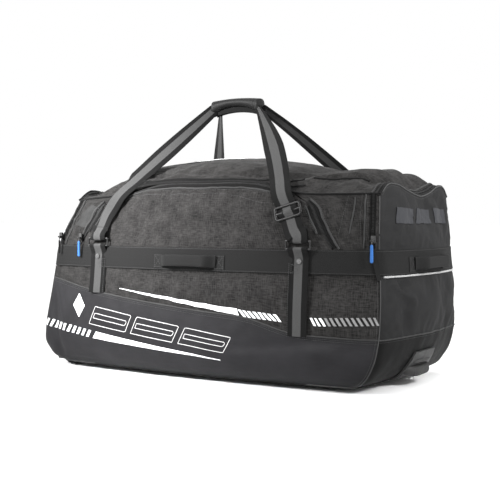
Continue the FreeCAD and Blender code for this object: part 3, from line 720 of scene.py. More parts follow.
# ------------------------------------------------------------------ materials
class Shader:
    """A Principled material and short helpers for its nodes."""

    def __init__(self, name, rough=0.8, metal=0.0, specular=0.4, coat=0.0, sheen=0.0):
        self.mat = bpy.data.materials.new(name)
        self.mat.use_nodes = True
        self.tree = self.mat.node_tree
        self.bsdf = self.tree.nodes["Principled BSDF"]
        self.set("Roughness", rough)
        self.set("Metallic", metal)
        self.set("Specular IOR Level", specular)
        self.set("Coat Weight", coat)
        self.set("Sheen Weight", sheen)
        coords = self.tree.nodes.new("ShaderNodeTexCoord")
        self.uv, self.place = coords.outputs["UV"], coords.outputs["Object"]

    def set(self, socket, value):
        self.bsdf.inputs[socket].default_value = value

    def node(self, kind, inputs=(), **settings):
        n = self.tree.nodes.new(kind)
        for key, value in settings.items():
            setattr(n, key, value)
        for key, value in dict(inputs).items():
            self.feed(n.inputs[key], value)
        return n

    def feed(self, socket, value):
        if isinstance(value, bpy.types.NodeSocket):
            self.tree.links.new(value, socket)
        else:
            socket.default_value = value

    def math(self, operation, a, b=0.0, c=0.0):
        return self.node("ShaderNodeMath", {0: a, 1: b, 2: c}, operation=operation).outputs[0]

    def scaled(self, vector, x, y, z=1.0):
        return self.node("ShaderNodeMapping", {"Vector": vector, "Scale": (x, y, z)}).outputs[0]

    def noise(self, vector, scale, detail=2.0, rough=0.5):
        n = self.node("ShaderNodeTexNoise", {"Vector": vector, "Scale": scale, "Detail": detail,
                                             "Roughness": rough})
        return n.outputs["Fac"]

    def cells(self, vector, scale):
        n = self.node("ShaderNodeTexVoronoi", {"Vector": vector, "Scale": scale})
        return n.outputs["Distance"]

    def split(self, vector):
        return self.node("ShaderNodeSeparateXYZ", {0: vector}).outputs

    def ramp(self, value, stops):
        n = self.node("ShaderNodeValToRGB", {0: value})
        while len(n.color_ramp.elements) < len(stops):
            n.color_ramp.elements.new(0.5)
        for element, (at, colour) in zip(n.color_ramp.elements, stops):
            element.position = at
            element.color = (*colour, 1.0) if len(colour) == 3 else (colour[0],) * 3 + (1.0,)
        return n.outputs["Color"]

    def blend(self, share, a, b):
        n = self.node("ShaderNodeMix", data_type="RGBA")
        self.feed(n.inputs["Factor"], share)
        for socket, value in ((n.inputs[6], a), (n.inputs[7], b)):
            if isinstance(value, tuple):
                value = (*value, 1.0) if len(value) == 3 else value
            self.feed(socket, value)
        return n.outputs[2]

    def colour(self, value):
        if isinstance(value, tuple):
            value = (*value, 1.0)
        self.feed(self.bsdf.inputs["Base Color"], value)

    def rough(self, value, low, high):
        self.feed(self.bsdf.inputs["Roughness"], self.math("MULTIPLY_ADD", value, high - low, low))

    def bump(self, height, distance, strength=1.0):
        n = self.node("ShaderNodeBump", {"Height": height, "Distance": distance,
                                         "Strength": strength})
        old = self.bsdf.inputs["Normal"].links
        if old:
            self.tree.links.new(old[0].from_socket, n.inputs["Normal"])
        self.tree.links.new(n.outputs[0], self.bsdf.inputs["Normal"])

    def wave(self, value, pitch):
        """0..1 triangle wave of a length in metres."""
        return self.math("MULTIPLY", self.math("PINGPONG", value, pitch / 2), 2 / pitch)


def grey(srgb):
    """Linear grey of an 8-bit display value."""
    c = srgb / 255
    c = c / 12.92 if c <= 0.04045 else ((c + 0.055) / 1.055) ** 2.4
    return (c, c, c)


def tint(srgb, r=1.0, g=1.0, b=1.0):
    base = grey(srgb)[0]
    return (base * r, base * g, base * b)


def woven(name, dark, light):
    """Heathered ripstop: mixed yarns, a fine grid of thicker threads and a plain weave."""
    s = Shader(name, rough=0.85, specular=0.10, sheen=0.03)
    s.set("Sheen Roughness", 0.5)
    x, y, _ = s.split(s.uv)
    weft = s.noise(s.scaled(s.uv, 60, 480), 1.0, 4, 0.7)
    warp = s.noise(s.scaled(s.uv, 480, 60), 1.0, 4, 0.7)
    mottle = s.noise(s.uv, 28.0, 3)
    heather = s.math("MULTIPLY_ADD", s.math("ADD", weft, warp), 0.41, s.math("MULTIPLY", mottle, 0.18))
    base = s.ramp(heather, [(0.42, dark), (0.58, light)])
    grid = s.math("MAXIMUM", s.wave(x, 0.0052), s.wave(y, 0.0052))
    thread = s.math("GREATER_THAN", grid, 0.86)
    s.colour(s.blend(s.math("MULTIPLY", thread, 0.35), base, light))
    weave = s.math("MULTIPLY", s.wave(x, 0.0011), s.wave(y, 0.0011))
    s.bump(weave, 0.00025, 0.5)
    s.bump(grid, 0.0004, 0.35)
    s.bump(mottle, 0.004, 0.35)
    s.bump(s.noise(s.scaled(s.uv, 7, 19), 1.0, 3, 0.6), 0.02, 0.3)
    return s.mat


def coated(name, dark, light, low, high, grain=1400.0):
    """Coated tarpaulin: fine leather-like grain, soft sheen and faint rubbed patches."""
    s = Shader(name, specular=0.10)
    patches = s.noise(s.uv, 7.0, 4, 0.6)
    scuff = s.noise(s.scaled(s.uv, 40, 160), 1.0, 4, 0.7)
    share = s.math("MULTIPLY_ADD", patches, 0.75, s.math("MULTIPLY", scuff, 0.25))
    s.colour(s.ramp(share, [(0.35, dark), (0.68, light)]))
    s.rough(share, low, high)
    s.bump(s.cells(s.uv, grain), 0.00025, 0.35)
    s.bump(s.noise(s.uv, 130.0, 3), 0.0009, 0.3)
    return s.mat


def webbing(name, edge, stripe=None, stripe_width=0.0215):
    """Ribbed webbing, with a light stripe down its middle if one is given."""
    s = Shader(name, rough=0.8, specular=0.10, sheen=0.02)
    x, y, _ = s.split(s.uv)
    yarn = s.noise(s.scaled(s.uv, 300, 1500), 1.0, 2)
    darker = tuple(c * 0.6 for c in edge)
    base = s.ramp(yarn, [(0.3, darker), (0.7, edge)])
    if stripe:
        rib = s.noise(s.scaled(s.uv, 900, 260), 1.0, 2)
        light = s.ramp(rib, [(0.25, tuple(c * 0.72 for c in stripe)), (0.75, stripe)])
        middle = s.math("LESS_THAN", s.math("ABSOLUTE", y), stripe_width / 2)
        base = s.blend(middle, base, light)
    s.colour(base)
    ribs = s.math("MULTIPLY", s.wave(x, 0.0016), s.wave(y, 0.0030))
    s.bump(ribs, 0.0006, 0.55)
    return s.mat


def herringbone(name, dark, light):
    """Heavy webbing whose diagonal ribs change direction every few millimetres."""
    s = Shader(name, rough=0.78, specular=0.12, sheen=0.02)
    x, y, _ = s.split(s.uv)
    zigzag = s.math("ADD", x, s.math("PINGPONG", y, 0.0045))
    rib = s.wave(zigzag, 0.0024)
    yarn = s.noise(s.scaled(s.uv, 700, 700), 1.0, 2)
    share = s.math("MULTIPLY_ADD", rib, 0.5, s.math("MULTIPLY", yarn, 0.5))
    s.colour(s.ramp(share, [(0.3, dark), (0.7, light)]))
    s.bump(rib, 0.0006, 0.6)
    return s.mat


def moulded(name, base, low=0.45, high=0.62, grain=700.0):
    """Spark-textured moulded plastic or rubber."""
    s = Shader(name, specular=0.22)
    fleck = s.noise(s.place, grain, 2)
    s.colour(s.ramp(fleck, [(0.3, tuple(c * 0.8 for c in base)), (0.7, base)]))
    s.rough(s.noise(s.place, 35.0, 3), low, high)
    s.bump(fleck, 0.0002, 0.4)
    s.bump(s.noise(s.place, 90.0, 2), 0.0006, 0.15)
    return s.mat


def metal(name, base, rough):
    s = Shader(name, rough=rough, metal=0.85, specular=0.5)
    worn = s.noise(s.place, 420.0, 4)
    s.colour(s.ramp(worn, [(0.35, tuple(c * 0.55 for c in base)), (0.7, base)]))
    s.rough(worn, rough * 0.8, rough * 1.3)
    return s.mat


def printed(name, base, dark):
    """Screen print on fabric: nearly opaque, broken by the cloth below at its finest scale."""
    s = Shader(name, rough=0.6, specular=0.3)
    wear = s.noise(s.place, 650.0, 3)
    s.colour(s.ramp(wear, [(0.22, dark), (0.42, base)]))
    s.bump(wear, 0.0002, 0.3)
    return s.mat


def sparkle(name, base):
    """Reflective yarn piping with bright glass flecks."""
    s = Shader(name, rough=0.45, specular=0.6)
    fleck = s.noise(s.place, 900.0, 1)
    s.colour(s.ramp(fleck, [(0.35, tuple(c * 0.35 for c in base)), (0.6, base)]))
    s.bump(fleck, 0.0003, 0.5)
    return s.mat


def mesh_cloth(name, base):
    """Knitted spacer mesh: rows of holes, sunk by a bump and painted dark as shade."""
    s = Shader(name, rough=0.9, specular=0.25)
    x, y, _ = s.split(s.uv)
    hole = s.math("MULTIPLY", s.wave(x, 0.0034), s.wave(y, 0.0028))
    # The holes are painted near black: painted shade in the openings
    s.colour(s.ramp(hole, [(0.28, base), (0.5, tuple(c * 0.15 for c in base))]))
    s.bump(hole, 0.0008, -0.7)
    return s.mat


M = {
    "woven": woven("woven_fabric", tint(9, 1.03, 1, 0.98), tint(46, 1.04, 1, 0.98)),
    "coated": coated("coated_fabric", tint(26, 1.02, 1, 1.10), tint(38, 1.02, 1, 1.10), 0.45, 0.6),
    "end": coated("end_fabric", tint(24, 1, 1, 1.02), tint(35, 1, 1, 1.03), 0.6, 0.75, 1800.0),
    "kick": coated("kick_fabric", tint(5), tint(11), 0.55, 0.7, 1000.0),
    "lining": woven("lining_fabric", tint(40), tint(58)),
    "band": herringbone("band_webbing", tint(8), tint(30)),
    "strap": webbing("strap_webbing", tint(14), tint(66)),
    # The straps' inner faces: the strap webbing with a darker stripe, painted shade for the side that faces
    # the bag, and lighter edges
    "strap_painted_shade": webbing("strap_webbing_painted_shade", tint(24), tint(62)),
    "handle": webbing("handle_webbing", tint(31)),
    "tape": webbing("zip_tape", tint(13)),
    "bind": webbing("binding_tape", tint(20)),
    "piping": sparkle("reflective_piping", tint(170)),
    "grey_piping": moulded("grey_piping", tint(56), 0.45, 0.6),
    "self_piping": coated("self_piping", tint(40), tint(56), 0.5, 0.65),
    "coil": moulded("zip_coil", tint(16), 0.6, 0.7),
    "slider": metal("blackened_zip_metal", tint(80), 0.38),
    "ring": metal("gunmetal_wire", tint(58), 0.42),
    "rivet": metal("rivet_metal", tint(110), 0.35),
    "buckle": moulded("buckle_plastic", tint(14), 0.38, 0.5),
    "grip": coated("grip_leatherette", tint(24), tint(36), 0.42, 0.52, 1600.0),
    "under": webbing("under_grip_webbing", tint(26)),
    "blue": moulded("blue_pull", (0.026, 0.118, 0.36), 0.5, 0.65),
    "cord": webbing("black_pull_cord", tint(26)),
    "tyre": moulded("tyre_rubber", tint(30), 0.6, 0.8),
    "hub": moulded("hub_plastic", tint(60), 0.4, 0.55),
    "moulding": moulded("moulded_plastic", tint(46), 0.45, 0.6, 500.0),
    "board": moulded("base_board_plastic", tint(30), 0.5, 0.7),
    "steel": metal("axle_steel", tint(170), 0.3),
    "rubber": moulded("foot_rubber", tint(30), 0.7, 0.85),
    "thread": moulded("sewing_thread", tint(60), 0.6, 0.7),
    "dark_thread": moulded("dark_thread", tint(26), 0.6, 0.7),
    "white": printed("white_print", (0.86, 0.87, 0.88), (0.5, 0.5, 0.5)),
    "line": printed("line_print", tint(200), tint(120)),
    "faded": printed("grey_print", tint(120), tint(80)),
    "tone": printed("tonal_print", tint(36, 1, 1.04, 1.22), tint(30, 1, 1.04, 1.2)),
    "mesh": mesh_cloth("spacer_mesh", tint(46)),
    "label": printed("woven_label", tint(205), tint(150)),
}


# The finish slot of each fabric
SLOTS = {"woven": "woven_fabric", "coated": "coated_fabric", "end": "end_fabric", "kick": "kick_fabric"}


# ------------------------------------------------------------------ body panels
def zip_inner(z, gap=0.001):
    return float(zip_x(z)) - gap


def mouth_line(drop, reach=0.262):
    """Along the upper edge of the mouth flap."""
    return [(float(x), min(float(leg_height(abs(x))), float(edge_z(x))) - drop)
            for x in np.linspace(-reach, reach, 61)]


def end_top_edge(drop, reach=1.0):
    """The wavy upper outline of an end sheet."""
    w = float(HALF_W(CORNER_TOP_Z))
    return [(v * w, float(end_top_z(soft_abs(v))) - drop) for v in np.linspace(-reach, reach, 41)]


def flap_rows():
    rows = []
    for z in [HEM_Z, 0.318, 0.334] + list(np.linspace(FOLD_Z, 0.416, 7)):
        x = zip_inner(z)
        rows.append([(t * x, z) for t in np.linspace(-1, 1, 61)])
    return rows + [mouth_line(0.0015, zip_inner(0.418))]


WHEEL_LOW, WHEEL_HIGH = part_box("front_tyre")
WHEEL = (WHEEL_LOW + WHEEL_HIGH) / 2
HOUSING_R, HOUSING_HALF = 0.050, 0.021


def wheel_gap(points):
    """True where a wheel stands."""
    off = np.hypot(points[..., 0] - WHEEL.x, points[..., 2] - WHEEL.z)
    return (off < HOUSING_R) & (np.abs(np.abs(points[..., 1]) + WHEEL.y) < HOUSING_HALF)


def gusset_rows(sign):
    rows = []
    for z in [HEM_Z, 0.318] + list(np.linspace(FOLD_Z, 0.416, 6)):
        rows.append([(float(x), z) for x in np.linspace(sign * (zip_inner(z) + 0.002),
                                                        float(x_of(sign, z)), 25)])
    rows.append([(float(x), float(edge_z(x))) for x in np.linspace(sign * 0.254,
                                                                   float(x_of(sign, CORNER_TOP_Z)), 25)])
    return rows


def both(name):
    """The same material outside and inside."""
    return [M[name], M[name]]


def bend_at_fold(obj):
    """Bake a panel's placement into its mesh."""
    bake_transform(obj)


def sewn(name, side, rows, fabric, node, k=0.0, **more):
    """A lined panel that stands for one CAD node and stays with the bag."""
    put(patch(name, side, rows, k, **more), [M[fabric], M["lining"]], "bag", SLOTS[fabric], node)


def hinged(name, side, rows, fabric, node, **more):
    """A lined flap, with its placement baked into its mesh."""
    obj = patch(name, side, rows, **more)
    put(obj, [M[fabric], M["lining"]], None, SLOTS[fabric], node)
    bend_at_fold(obj)


def levels(side, heights):
    return [level(side, z) for z in heights]


def make_side_panels():
    for side in SIDES:
        foot = levels(side, (0.012, 0.018, 0.025, 0.035, 0.045, 0.06, 0.08, 0.10))
        sewn(side + "_foot", side, foot + [curve_row(coated_seam)], "coated", side + "_foot_panel")
        wall = [curve_row(coated_seam, drop=-0.0008)] + levels(side, (0.245, SEAM_Z))
        sewn(side + "_side", side, wall, "woven", side + "_side_panel", -0.0008)
    sewn("front_fold", "front", levels("front", (SEAM_Z, HEM_Z)), "woven", "front_fold_strip")
    back = levels("back", (SEAM_Z, 0.33, 0.36, 0.40)) + [curve_row(edge_z)]
    sewn("back_upper", "back", back, "woven", "back_upper_panel")
    hinged("mouth_flap", "front", flap_rows(), "woven", "main_flap")
    for name, sign in (("left", -1), ("right", 1)):
        sewn(name + "_gusset", "front", gusset_rows(sign), "woven", "front_" + name + "_gusset", -0.0004)


def make_end_panels():
    for side in ENDS:
        kick = levels(side, (0.012, 0.018, 0.025, 0.035, 0.05, 0.07, 0.10, KICK_SEAM_Z))
        sewn(side + "_kick", side, kick, "kick", side + "_kick_panel", hole=wheel_gap)
        wall = levels(side, (KICK_SEAM_Z, 0.18, 0.262, SEAM_Z))
        sewn(side + "_end", side, wall, "end", side + "_end_panel", -0.0006)
        sewn(side + "_fold", side, levels(side, (SEAM_Z, HEM_Z)), "end", side + "_fold_strip")
        flap = levels(side, (HEM_Z, 0.318, 0.334, FOLD_Z, 0.37, 0.40)) + [end_top_edge(0.001)]
        hinged(side + "_pocket_door", side, flap, "end", side + "_pocket_flap", puff=0.002)


def make_panels():
    make_side_panels()
    make_end_panels()
    top = [[(u, s) for u in np.linspace(-1, 1, 61)] for s in np.linspace(-1, 1, 31)]
    sewn("top_cover", "top", top, "woven", "top_panel", -0.0005)


def make_bottom():
    """Flat underside with openings for the wheels."""
    lo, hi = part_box("bottom_panel")
    u, s = np.meshgrid(np.linspace(-1, 1, 161), np.linspace(-1, 1, 81))
    reach = HALF_W(BASE_Z) + BULGE_Y(BASE_Z) * (1 - u * u)
    z = np.full(u.shape, BASE_Z)
    outer = np.stack([x_of(u, z), s * reach, z - 0.0002], -1)
    inner = outer + np.array([0, 0, hi.z - lo.z])
    keep = ~wheel_gap((outer[:-1, :-1] + outer[1:, 1:]) / 2)
    put(shell("underside", outer, inner, keep=keep), [M["kick"], M["lining"]], "bag",
        "kick_fabric", "bottom_panel")


def make_dividers():
    """Loose mesh walls between the middle and the end pockets."""
    for name in ("left_divider", "right_divider"):
        lo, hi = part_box(name)
        s, h = np.meshgrid(np.linspace(-1, 1, 61), np.linspace(0, 1, 51))
        z = lo.z + (hi.z - lo.z) * h
        middle = (lo.x + hi.x) / 2
        u = u_of(middle, z)
        reach = HALF_W(z) + BULGE_Y(z) * (1 - u * u) - 0.010
        slack = 0.004 * np.sin(7 * s) * np.sin(math.pi * h) + 0.003 * np.sin(5 * h + 2 * s)
        near = np.stack([middle - 0.001 + slack, s * reach, z], -1)
        put(shell(name + "_mesh", near, near + np.array([0.002, 0, 0])), both("mesh"),
            "bag", "lining", name)


make_panels()
make_bottom()
make_dividers()


# ------------------------------------------------------------------ bands, piping and seams
BAND_K, BAND_THICK = 0.0024, 0.0018


def corner_edge(sign, low, high, u=1.0, n=12):
    """A line up a side sheet near its left or right corner."""
    return [(float(x_of(sign * u, z)), z) for z in np.linspace(low, high, n)]


def top_place(x, y):
    """Top sheet coordinates above a plan position."""
    u, s = 0.0, y / 0.22
    for _ in range(5):
        z_end = float(end_top_z(soft_abs(s)))
        bulge = float(BULGE_X(z_end)) * (1 - s * s)
        low, high = -float(LEFT(z_end)) - bulge, float(RIGHT(z_end)) + bulge
        u = 2 * (x - low) / (high - low) - 1
        z_edge = float(edge_z(x))
        s = y / (float(HALF_W(z_edge)) + float(BULGE_Y(z_edge)) * (1 - u * u))
    return u, max(-1.0, min(1.0, s))


def make_bands():
    for side in (*SIDES, *ENDS):
        web = patch(side + "_band_web", side, levels(side, BAND), BAND_K, BAND_THICK)
        put(web, both("band"), "bag", "webbing", side + "_band")


def make_piping():
    places = [(v * 0.195, 0.2585) for v in np.linspace(-1, 1, 9)]
    lines = [cord_on("piping", side, places, 0.0024, 0.0012) for side in ENDS]
    put(join("end_reflective_piping", lines), M["piping"], "bag", "piping", "reflective_piping")
    low, dark, base = [], [], []
    for side in SIDES:
        for sign in (-1, 1):
            turn = [(sign * (abs(float(x_of(sign, 0.016))) - d), 0.0145) for d in (0.03, 0.075, 0.12)]
            upright = corner_edge(sign, 0.017, 0.259)
            low.append(cord_on("corner", side, turn[::-1] + upright, 0.0015, 0.0006))
            dark.append(cord_on("corner", side, corner_edge(sign, 0.318, 0.347, n=4), 0.0024, -0.0002))
        base.append(cord_on("base", side, level(side, 0.0135), 0.0026, -0.0006))
        seam = [(x, z) for x, z in curve_row(coated_seam, -0.995, 0.995)]
        dark.append(cord_on("seam", side, seam, 0.0022, 0.0002, 0.6))
        for sign in (-1, 1):
            tuck = [(sign * x, z) for x, z in ((0.4085, 0.432), (0.4065, 0.395), (0.4020, 0.352))]
            dark.append(cord_on("tuck", side, tuck, 0.0020, 0.0002, 0.6))
    for side in ENDS:
        base.append(cord_on("base", side, level(side, 0.0135), 0.0026, -0.0006))
        dark.append(cord_on("seam", side, level(side, KICK_SEAM_Z), 0.0020, 0.0002, 0.6))
    put(join("corner_piping", low), M["grey_piping"], "bag", "piping")
    put(join("seam_welts", dark), M["self_piping"], "bag", "coated_fabric")
    put(join("base_binding", base), M["bind"], "bag", "webbing")


def make_flap_piping():
    """Rounded outlines of the pocket flaps and of the top sheet that meets them."""
    for name, sign in (("right", 1), ("left", -1)):
        outline = [cord_on("outline", name, end_top_edge(0.0012), 0.0016, 0.0004)]
        for side in SIDES:
            outline.append(cord_on("outline", side, corner_edge(sign, 0.352, 0.438), 0.0015, 0.0002))
        put(join(name + "_flap_piping", outline), M["grey_piping"], name + "_pocket_flap", "piping")
    rim = []
    for sign in (-1, 1):
        rim.append(cord_on("rim", "top", [(sign * 0.996, s) for s in np.linspace(-1, 1, 41)], 0.0024, 0.0))
    for side in SIDES:
        for sign in (-1, 1):
            rim.append(cord_on("rim", side, [(x, float(edge_z(x)) - 0.001) for x in
                                             np.linspace(sign * 0.255, float(x_of(sign, CORNER_TOP_Z)), 25)],
                               0.0024, 0.0))
    rim.append(cord_on("rim", "back", curve_row(edge_z, -1, 1, drop=0.001), 0.0024, 0.0))
    put(join("top_rim_welts", rim), M["bind"], "bag", "webbing")


def make_lid_seams():
    """Two stitched ridges that follow the upper edge of the mouth, and their twins behind."""
    welts = []
    for flip in (-1, 1):
        for points in (LID_SEAM_HIGH, LID_SEAM_LOW):
            places = [top_place(x, flip * y) for x, y in points]
            welts.append(cord_on("lid_seam", "top", places, 0.0026, 0.0008, 0.7))
    for sign in (-1, 1):
        places = [top_place(sign * x, y) for x, y in ((0.29, -0.165), (0.35, -0.150), (0.41, -0.128))]
        welts.append(cord_on("lid_seam", "top", places, 0.0022, 0.0004, 0.7))
    put(join("lid_welts", welts), M["bind"], "bag", "webbing")


LID_SEAM_HIGH = [(-0.24, 0.178), (-0.147, 0.190), (-0.07, 0.193), (0.062, 0.194), (0.16, 0.190),
                 (0.27, 0.172)]
LID_SEAM_LOW = [(-0.26, 0.192), (-0.156, 0.206), (-0.052, 0.210), (0.051, 0.210), (0.149, 0.206),
                (0.28, 0.186)]

make_bands()
make_piping()
make_flap_piping()
make_lid_seams()


# ------------------------------------------------------------------ zips
TAPE_K, TAPE_THICK, TEETH_PITCH = 0.0012, 0.0010, 0.0030


def strip(name, side, line, width, k=TAPE_K, thick=TAPE_THICK, shift=0.0):
    """A ribbon on the skin, centred on a line and moved sideways by shift."""
    line = np.array(line, float)
    run = unit(np.gradient(line, axis=0))
    aside = np.stack([-run[:, 1], run[:, 0]], -1)
    rows = [list(map(tuple, line + aside * (shift + d))) for d in (-width / 2, 0, width / 2)]
    grid = np.array(rows)
    outer, _ = on_skin(side, grid[..., 0], grid[..., 1], k)
    inner, _ = on_skin(side, grid[..., 0], grid[..., 1], k - thick)
    return shell(name, outer, inner)


def teeth(name, side, line, k, size=(0.0018, 0.0048, 0.0016)):
    """One row of zip teeth along a line."""
    centre, normal = skin_line(side, line, k, TEETH_PITCH, smooth=False)
    return boxes(name, centre, *frames(centre, normal), size)


def leg_line(sign, low, high, out=0.0, n=24):
    return [(sign * (float(zip_x(z)) + out), z) for z in np.linspace(low, high, n)]


def make_main_zip():
    fixed, moving, fixed_teeth, moving_teeth, guard, flap_guard = [], [], [], [], [], []
    for sign in (-1, 1):
        fixed.append(strip("tape", "front", leg_line(sign, 0.320, 0.424, 0.0062), 0.009))
        fixed_teeth.append(teeth("teeth", "front", leg_line(sign, 0.322, 0.420, 0.0012), TAPE_K + 0.0006))
        moving.append(strip("tape", "front", leg_line(sign, FOLD_Z + 0.002, 0.412, -0.0062), 0.009))
        moving_teeth.append(teeth("teeth", "front", leg_line(sign, FOLD_Z + 0.003, 0.412, -0.0016), TAPE_K))
        guard.append(cord_on("guard", "front", leg_line(sign, 0.318, 0.428, 0.0155), 0.0026, 0.0006, 0.8))
        flap_guard.append(cord_on("guard", "front", leg_line(sign, FOLD_Z + 0.002, 0.412, -0.0150),
                                  0.0024, 0.0006, 0.8))
    moving.append(strip("tape", "front", mouth_line(0.0060), 0.008))
    moving_teeth.append(teeth("teeth", "front", mouth_line(0.0020), TAPE_K))
    flap_guard.append(cord_on("guard", "front", mouth_line(0.0135, 0.250), 0.0024, 0.0006, 0.8))
    edge = [(u, -0.975) for u in np.linspace(-0.64, 0.52, 61)]
    fixed.append(patch("tape", "top", [[(u, -0.995) for u, _ in edge], [(u, -0.955) for u, _ in edge]],
                       0.0008, TAPE_THICK))
    fixed_teeth.append(teeth("teeth", "top", [(u, -0.993) for u, _ in edge], 0.0012))
    put(join("mouth_zip_tapes", fixed), both("tape"), "bag", "zip_tape", "main_zip_fixed_side")
    put(join("mouth_zip_teeth", fixed_teeth), M["coil"], "bag", "zip_tape")
    put(join("mouth_zip_guards", guard), M["self_piping"], "bag", "woven_fabric")
    put(join("flap_zip_tapes", moving), both("tape"), "main_flap", "zip_tape",
        "main_zip_flap_side")
    put(join("flap_zip_teeth", moving_teeth), M["coil"], "main_flap", "zip_tape")
    put(join("flap_zip_guards", flap_guard), M["self_piping"], "main_flap", "woven_fabric")


POCKET_ZIP_U = 0.965


def make_pocket_zips():
    tapes, rows, welts = [], [], []
    for sign in (-1, 1):
        for side in SIDES:
            line = corner_edge(sign, 0.320, 0.440, POCKET_ZIP_U, 24)
            tapes.append(strip("tape", side, line, 0.014))
            rows.append(teeth("teeth", side, line, TAPE_K + 0.0006))
            welts.append(cord_on("guard", side, corner_edge(sign, 0.320, 0.438, POCKET_ZIP_U - 0.040, 16),
                                 0.0022, 0.0004, 0.8))
        edge = [(sign * 0.975, s) for s in np.linspace(-0.99, 0.99, 81)]
        tapes.append(patch("tape", "top", [[(sign * 0.962, s) for _, s in edge],
                                           [(sign * 0.990, s) for _, s in edge]], 0.0008, TAPE_THICK))
        rows.append(teeth("teeth", "top", edge, 0.0012))
        welts.append(cord_on("guard", "top", [(sign * 0.950, s) for _, s in edge], 0.0024, 0.0006, 0.8))
    put(join("pocket_zip_tapes", tapes), both("tape"), "bag", "zip_tape", "pocket_zips")
    put(join("pocket_zip_teeth", rows), M["coil"], "bag", "zip_tape")
    put(join("pocket_zip_guards", welts), M["self_piping"], "bag", "woven_fabric")


make_main_zip()
make_pocket_zips()


def oval_ring(centre, across, up, half_width, half_height, count=14, power=0.75):
    """Points of a rounded section."""
    ring = []
    for a in np.linspace(0, 2 * math.pi, count, endpoint=False):
        ca, sa = math.cos(a), math.sin(a)
        ring.append(centre + across * half_width * math.copysign(abs(ca) ** power, ca)
                    + up * half_height * math.copysign(abs(sa) ** power, sa))
    return ring


def make_pull(node, slot, mat):
    """Eye, neck and a ribbed rubber tab that hangs from a slider."""
    lo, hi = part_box(node)
    x, y = (lo.x + hi.x) / 2, (lo.y + hi.y) / 2
    half_x = (hi.x - lo.x) / 2
    side_way, out = np.array((1.0, 0, 0)), np.array((0, 1.0, 0))
    wire_r, eye_r, eye_z = 0.0006, 0.0013, hi.z - 0.0020
    loop = [(x, y + eye_r * math.cos(a), eye_z + eye_r * math.sin(a))
            for a in np.linspace(0, 2 * math.pi, 13)]
    eye = sweep("eye", np.array(loop), np.tile([1.0, 0, 0], (13, 1)), round_profile(wire_r))
    neck_low = hi.z - 0.0100
    neck = loft("neck", [oval_ring(np.array((x, y, z)), side_way, out, 0.0013, 0.0008)
                         for z in (eye_z - eye_r, (eye_z + neck_low) / 2, neck_low)])
    rings = []
    for t in np.linspace(0, 1, 41):
        z = neck_low + (lo.z - neck_low) * t
        end = min(1.0, t / 0.06, (1 - t) / 0.05)
        rib = 1 - 0.07 * (math.sin(t * 2 * math.pi * 9) > 0.2)
        width = half_x * (0.78 + 0.22 * t) * math.sqrt(max(end, 0.12)) * rib
        rings.append(oval_ring(np.array((x, y, z)), side_way, out, width, 0.0021 * max(end, 0.4) * rib))
    put(loft(node + "_tab", rings), mat, node, slot, node)
    put(join(node + "_eye", [eye, neck]), M["slider"], node, "zip_slider")


make_pull("main_pull", "blue_pull", M["blue"])
make_pull("right_pocket_pull", "blue_pull", M["blue"])
make_pull("left_pocket_pull", "black_pull", M["cord"])


# ------------------------------------------------------------------ prints and patches
PRINT_K, PRINT_THICK = 0.0011, 0.0008


def quad(name, a, b, c, d, side="front", k=PRINT_K):
    """A four-cornered print: a to b is the lower edge, d to c the upper."""
    return patch(name, side, [[a, b], [d, c]], k, PRINT_THICK, 0.004)


def outline(name, side, points, k=PRINT_K):
    """A closed thin printed line."""
    return cord_on(name, side, points + points[:1], 0.0008, k, 0.4, smooth=False)


def between(a, b, share):
    return tuple(p + (q - p) * share for p, q in zip(a, b))


def hatch_bars(low0, low1, high0, high1, count, fill):
    """Evenly spaced slanted bars between a lower and an upper edge, each filling part of its step."""
    bars = []
    for i in range(count):
        t0, t1 = i / count, (i + fill) / count
        bars.append(quad("hatch", between(low0, low1, t0), between(low0, low1, t1),
                         between(high0, high1, t1), between(high0, high1, t0)))
    return bars


# Lower and upper edge of the row of three outlined bars
BARS_LOW = ((-0.318, 0.119), (0.118, 0.074))
BARS_HIGH = ((-0.296, 0.163), (0.140, 0.110))


def make_graphics():
    """Generic print: tapered blades, slanted hatch bars, a diamond and outlined bars."""
    white = [quad("blade", (-0.208, 0.2118), (0.144, 0.164), (0.138, 0.1789), (-0.208, 0.2128)),
             quad("blade", (-0.306, 0.083), (0.091, 0.0576), (0.091, 0.0586), (-0.294, 0.100))]
    white += hatch_bars((0.156, 0.1619), (0.258, 0.154), (0.142, 0.1777), (0.241, 0.1701), 8, 0.60)
    white += hatch_bars((-0.494, 0.104), (-0.312, 0.0835), (-0.484, 0.1225), (-0.302, 0.1005), 10, 0.46)
    x, z, wide, tall = -0.358, 0.163, 0.021, 0.030
    rows = [[(x - wide * (1.02 - abs(t)), z + tall * t), (x + wide * (1.02 - abs(t)), z + tall * t)]
            for t in (-1, -0.5, 0, 0.5, 1)]
    white.append(patch("diamond", "front", rows, PRINT_K, PRINT_THICK, 0.004))
    right = hatch_bars((0.331, 0.1495), (0.484, 0.1555), (0.320, 0.1665), (0.473, 0.1725), 13, 0.5)
    put(join("white_graphics", white + right[:3]), both("white"), "bag", "coated_fabric")
    put(join("grey_graphics", right[3:]), both("faded"), "bag", "woven_fabric")
    lines = []
    for i in range(3):
        low0, low1 = [between(*BARS_LOW, t) for t in (i / 3, (i + 0.88) / 3)]
        high0, high1 = [between(*BARS_HIGH, t) for t in (i / 3, (i + 0.88) / 3)]
        for t in (0.0, 0.36):
            left0, left1 = between(low0, high0, t), between(low0, high0, 1 - t)
            right0, right1 = between(low1, high1, t), between(low1, high1, 1 - t)
            inset = t * 0.16
            lines.append(outline("bar", "front", [
                between(left0, right0, inset), between(left0, right0, 1 - inset),
                between(left1, right1, 1 - inset), between(left1, right1, inset)]))
    put(join("outlined_bars", lines), M["line"], "bag", "coated_fabric")
    tonal = []
    for y in (-0.148, -0.047, 0.054):
        tonal.append(quad("tonal", (y, 0.374), (y + 0.080, 0.3725), (y + 0.088, 0.406), (y + 0.008, 0.4085),
                          "right", 0.0036))
    put(join("tonal_bars", tonal), both("tone"), "right_pocket_flap", "end_fabric")


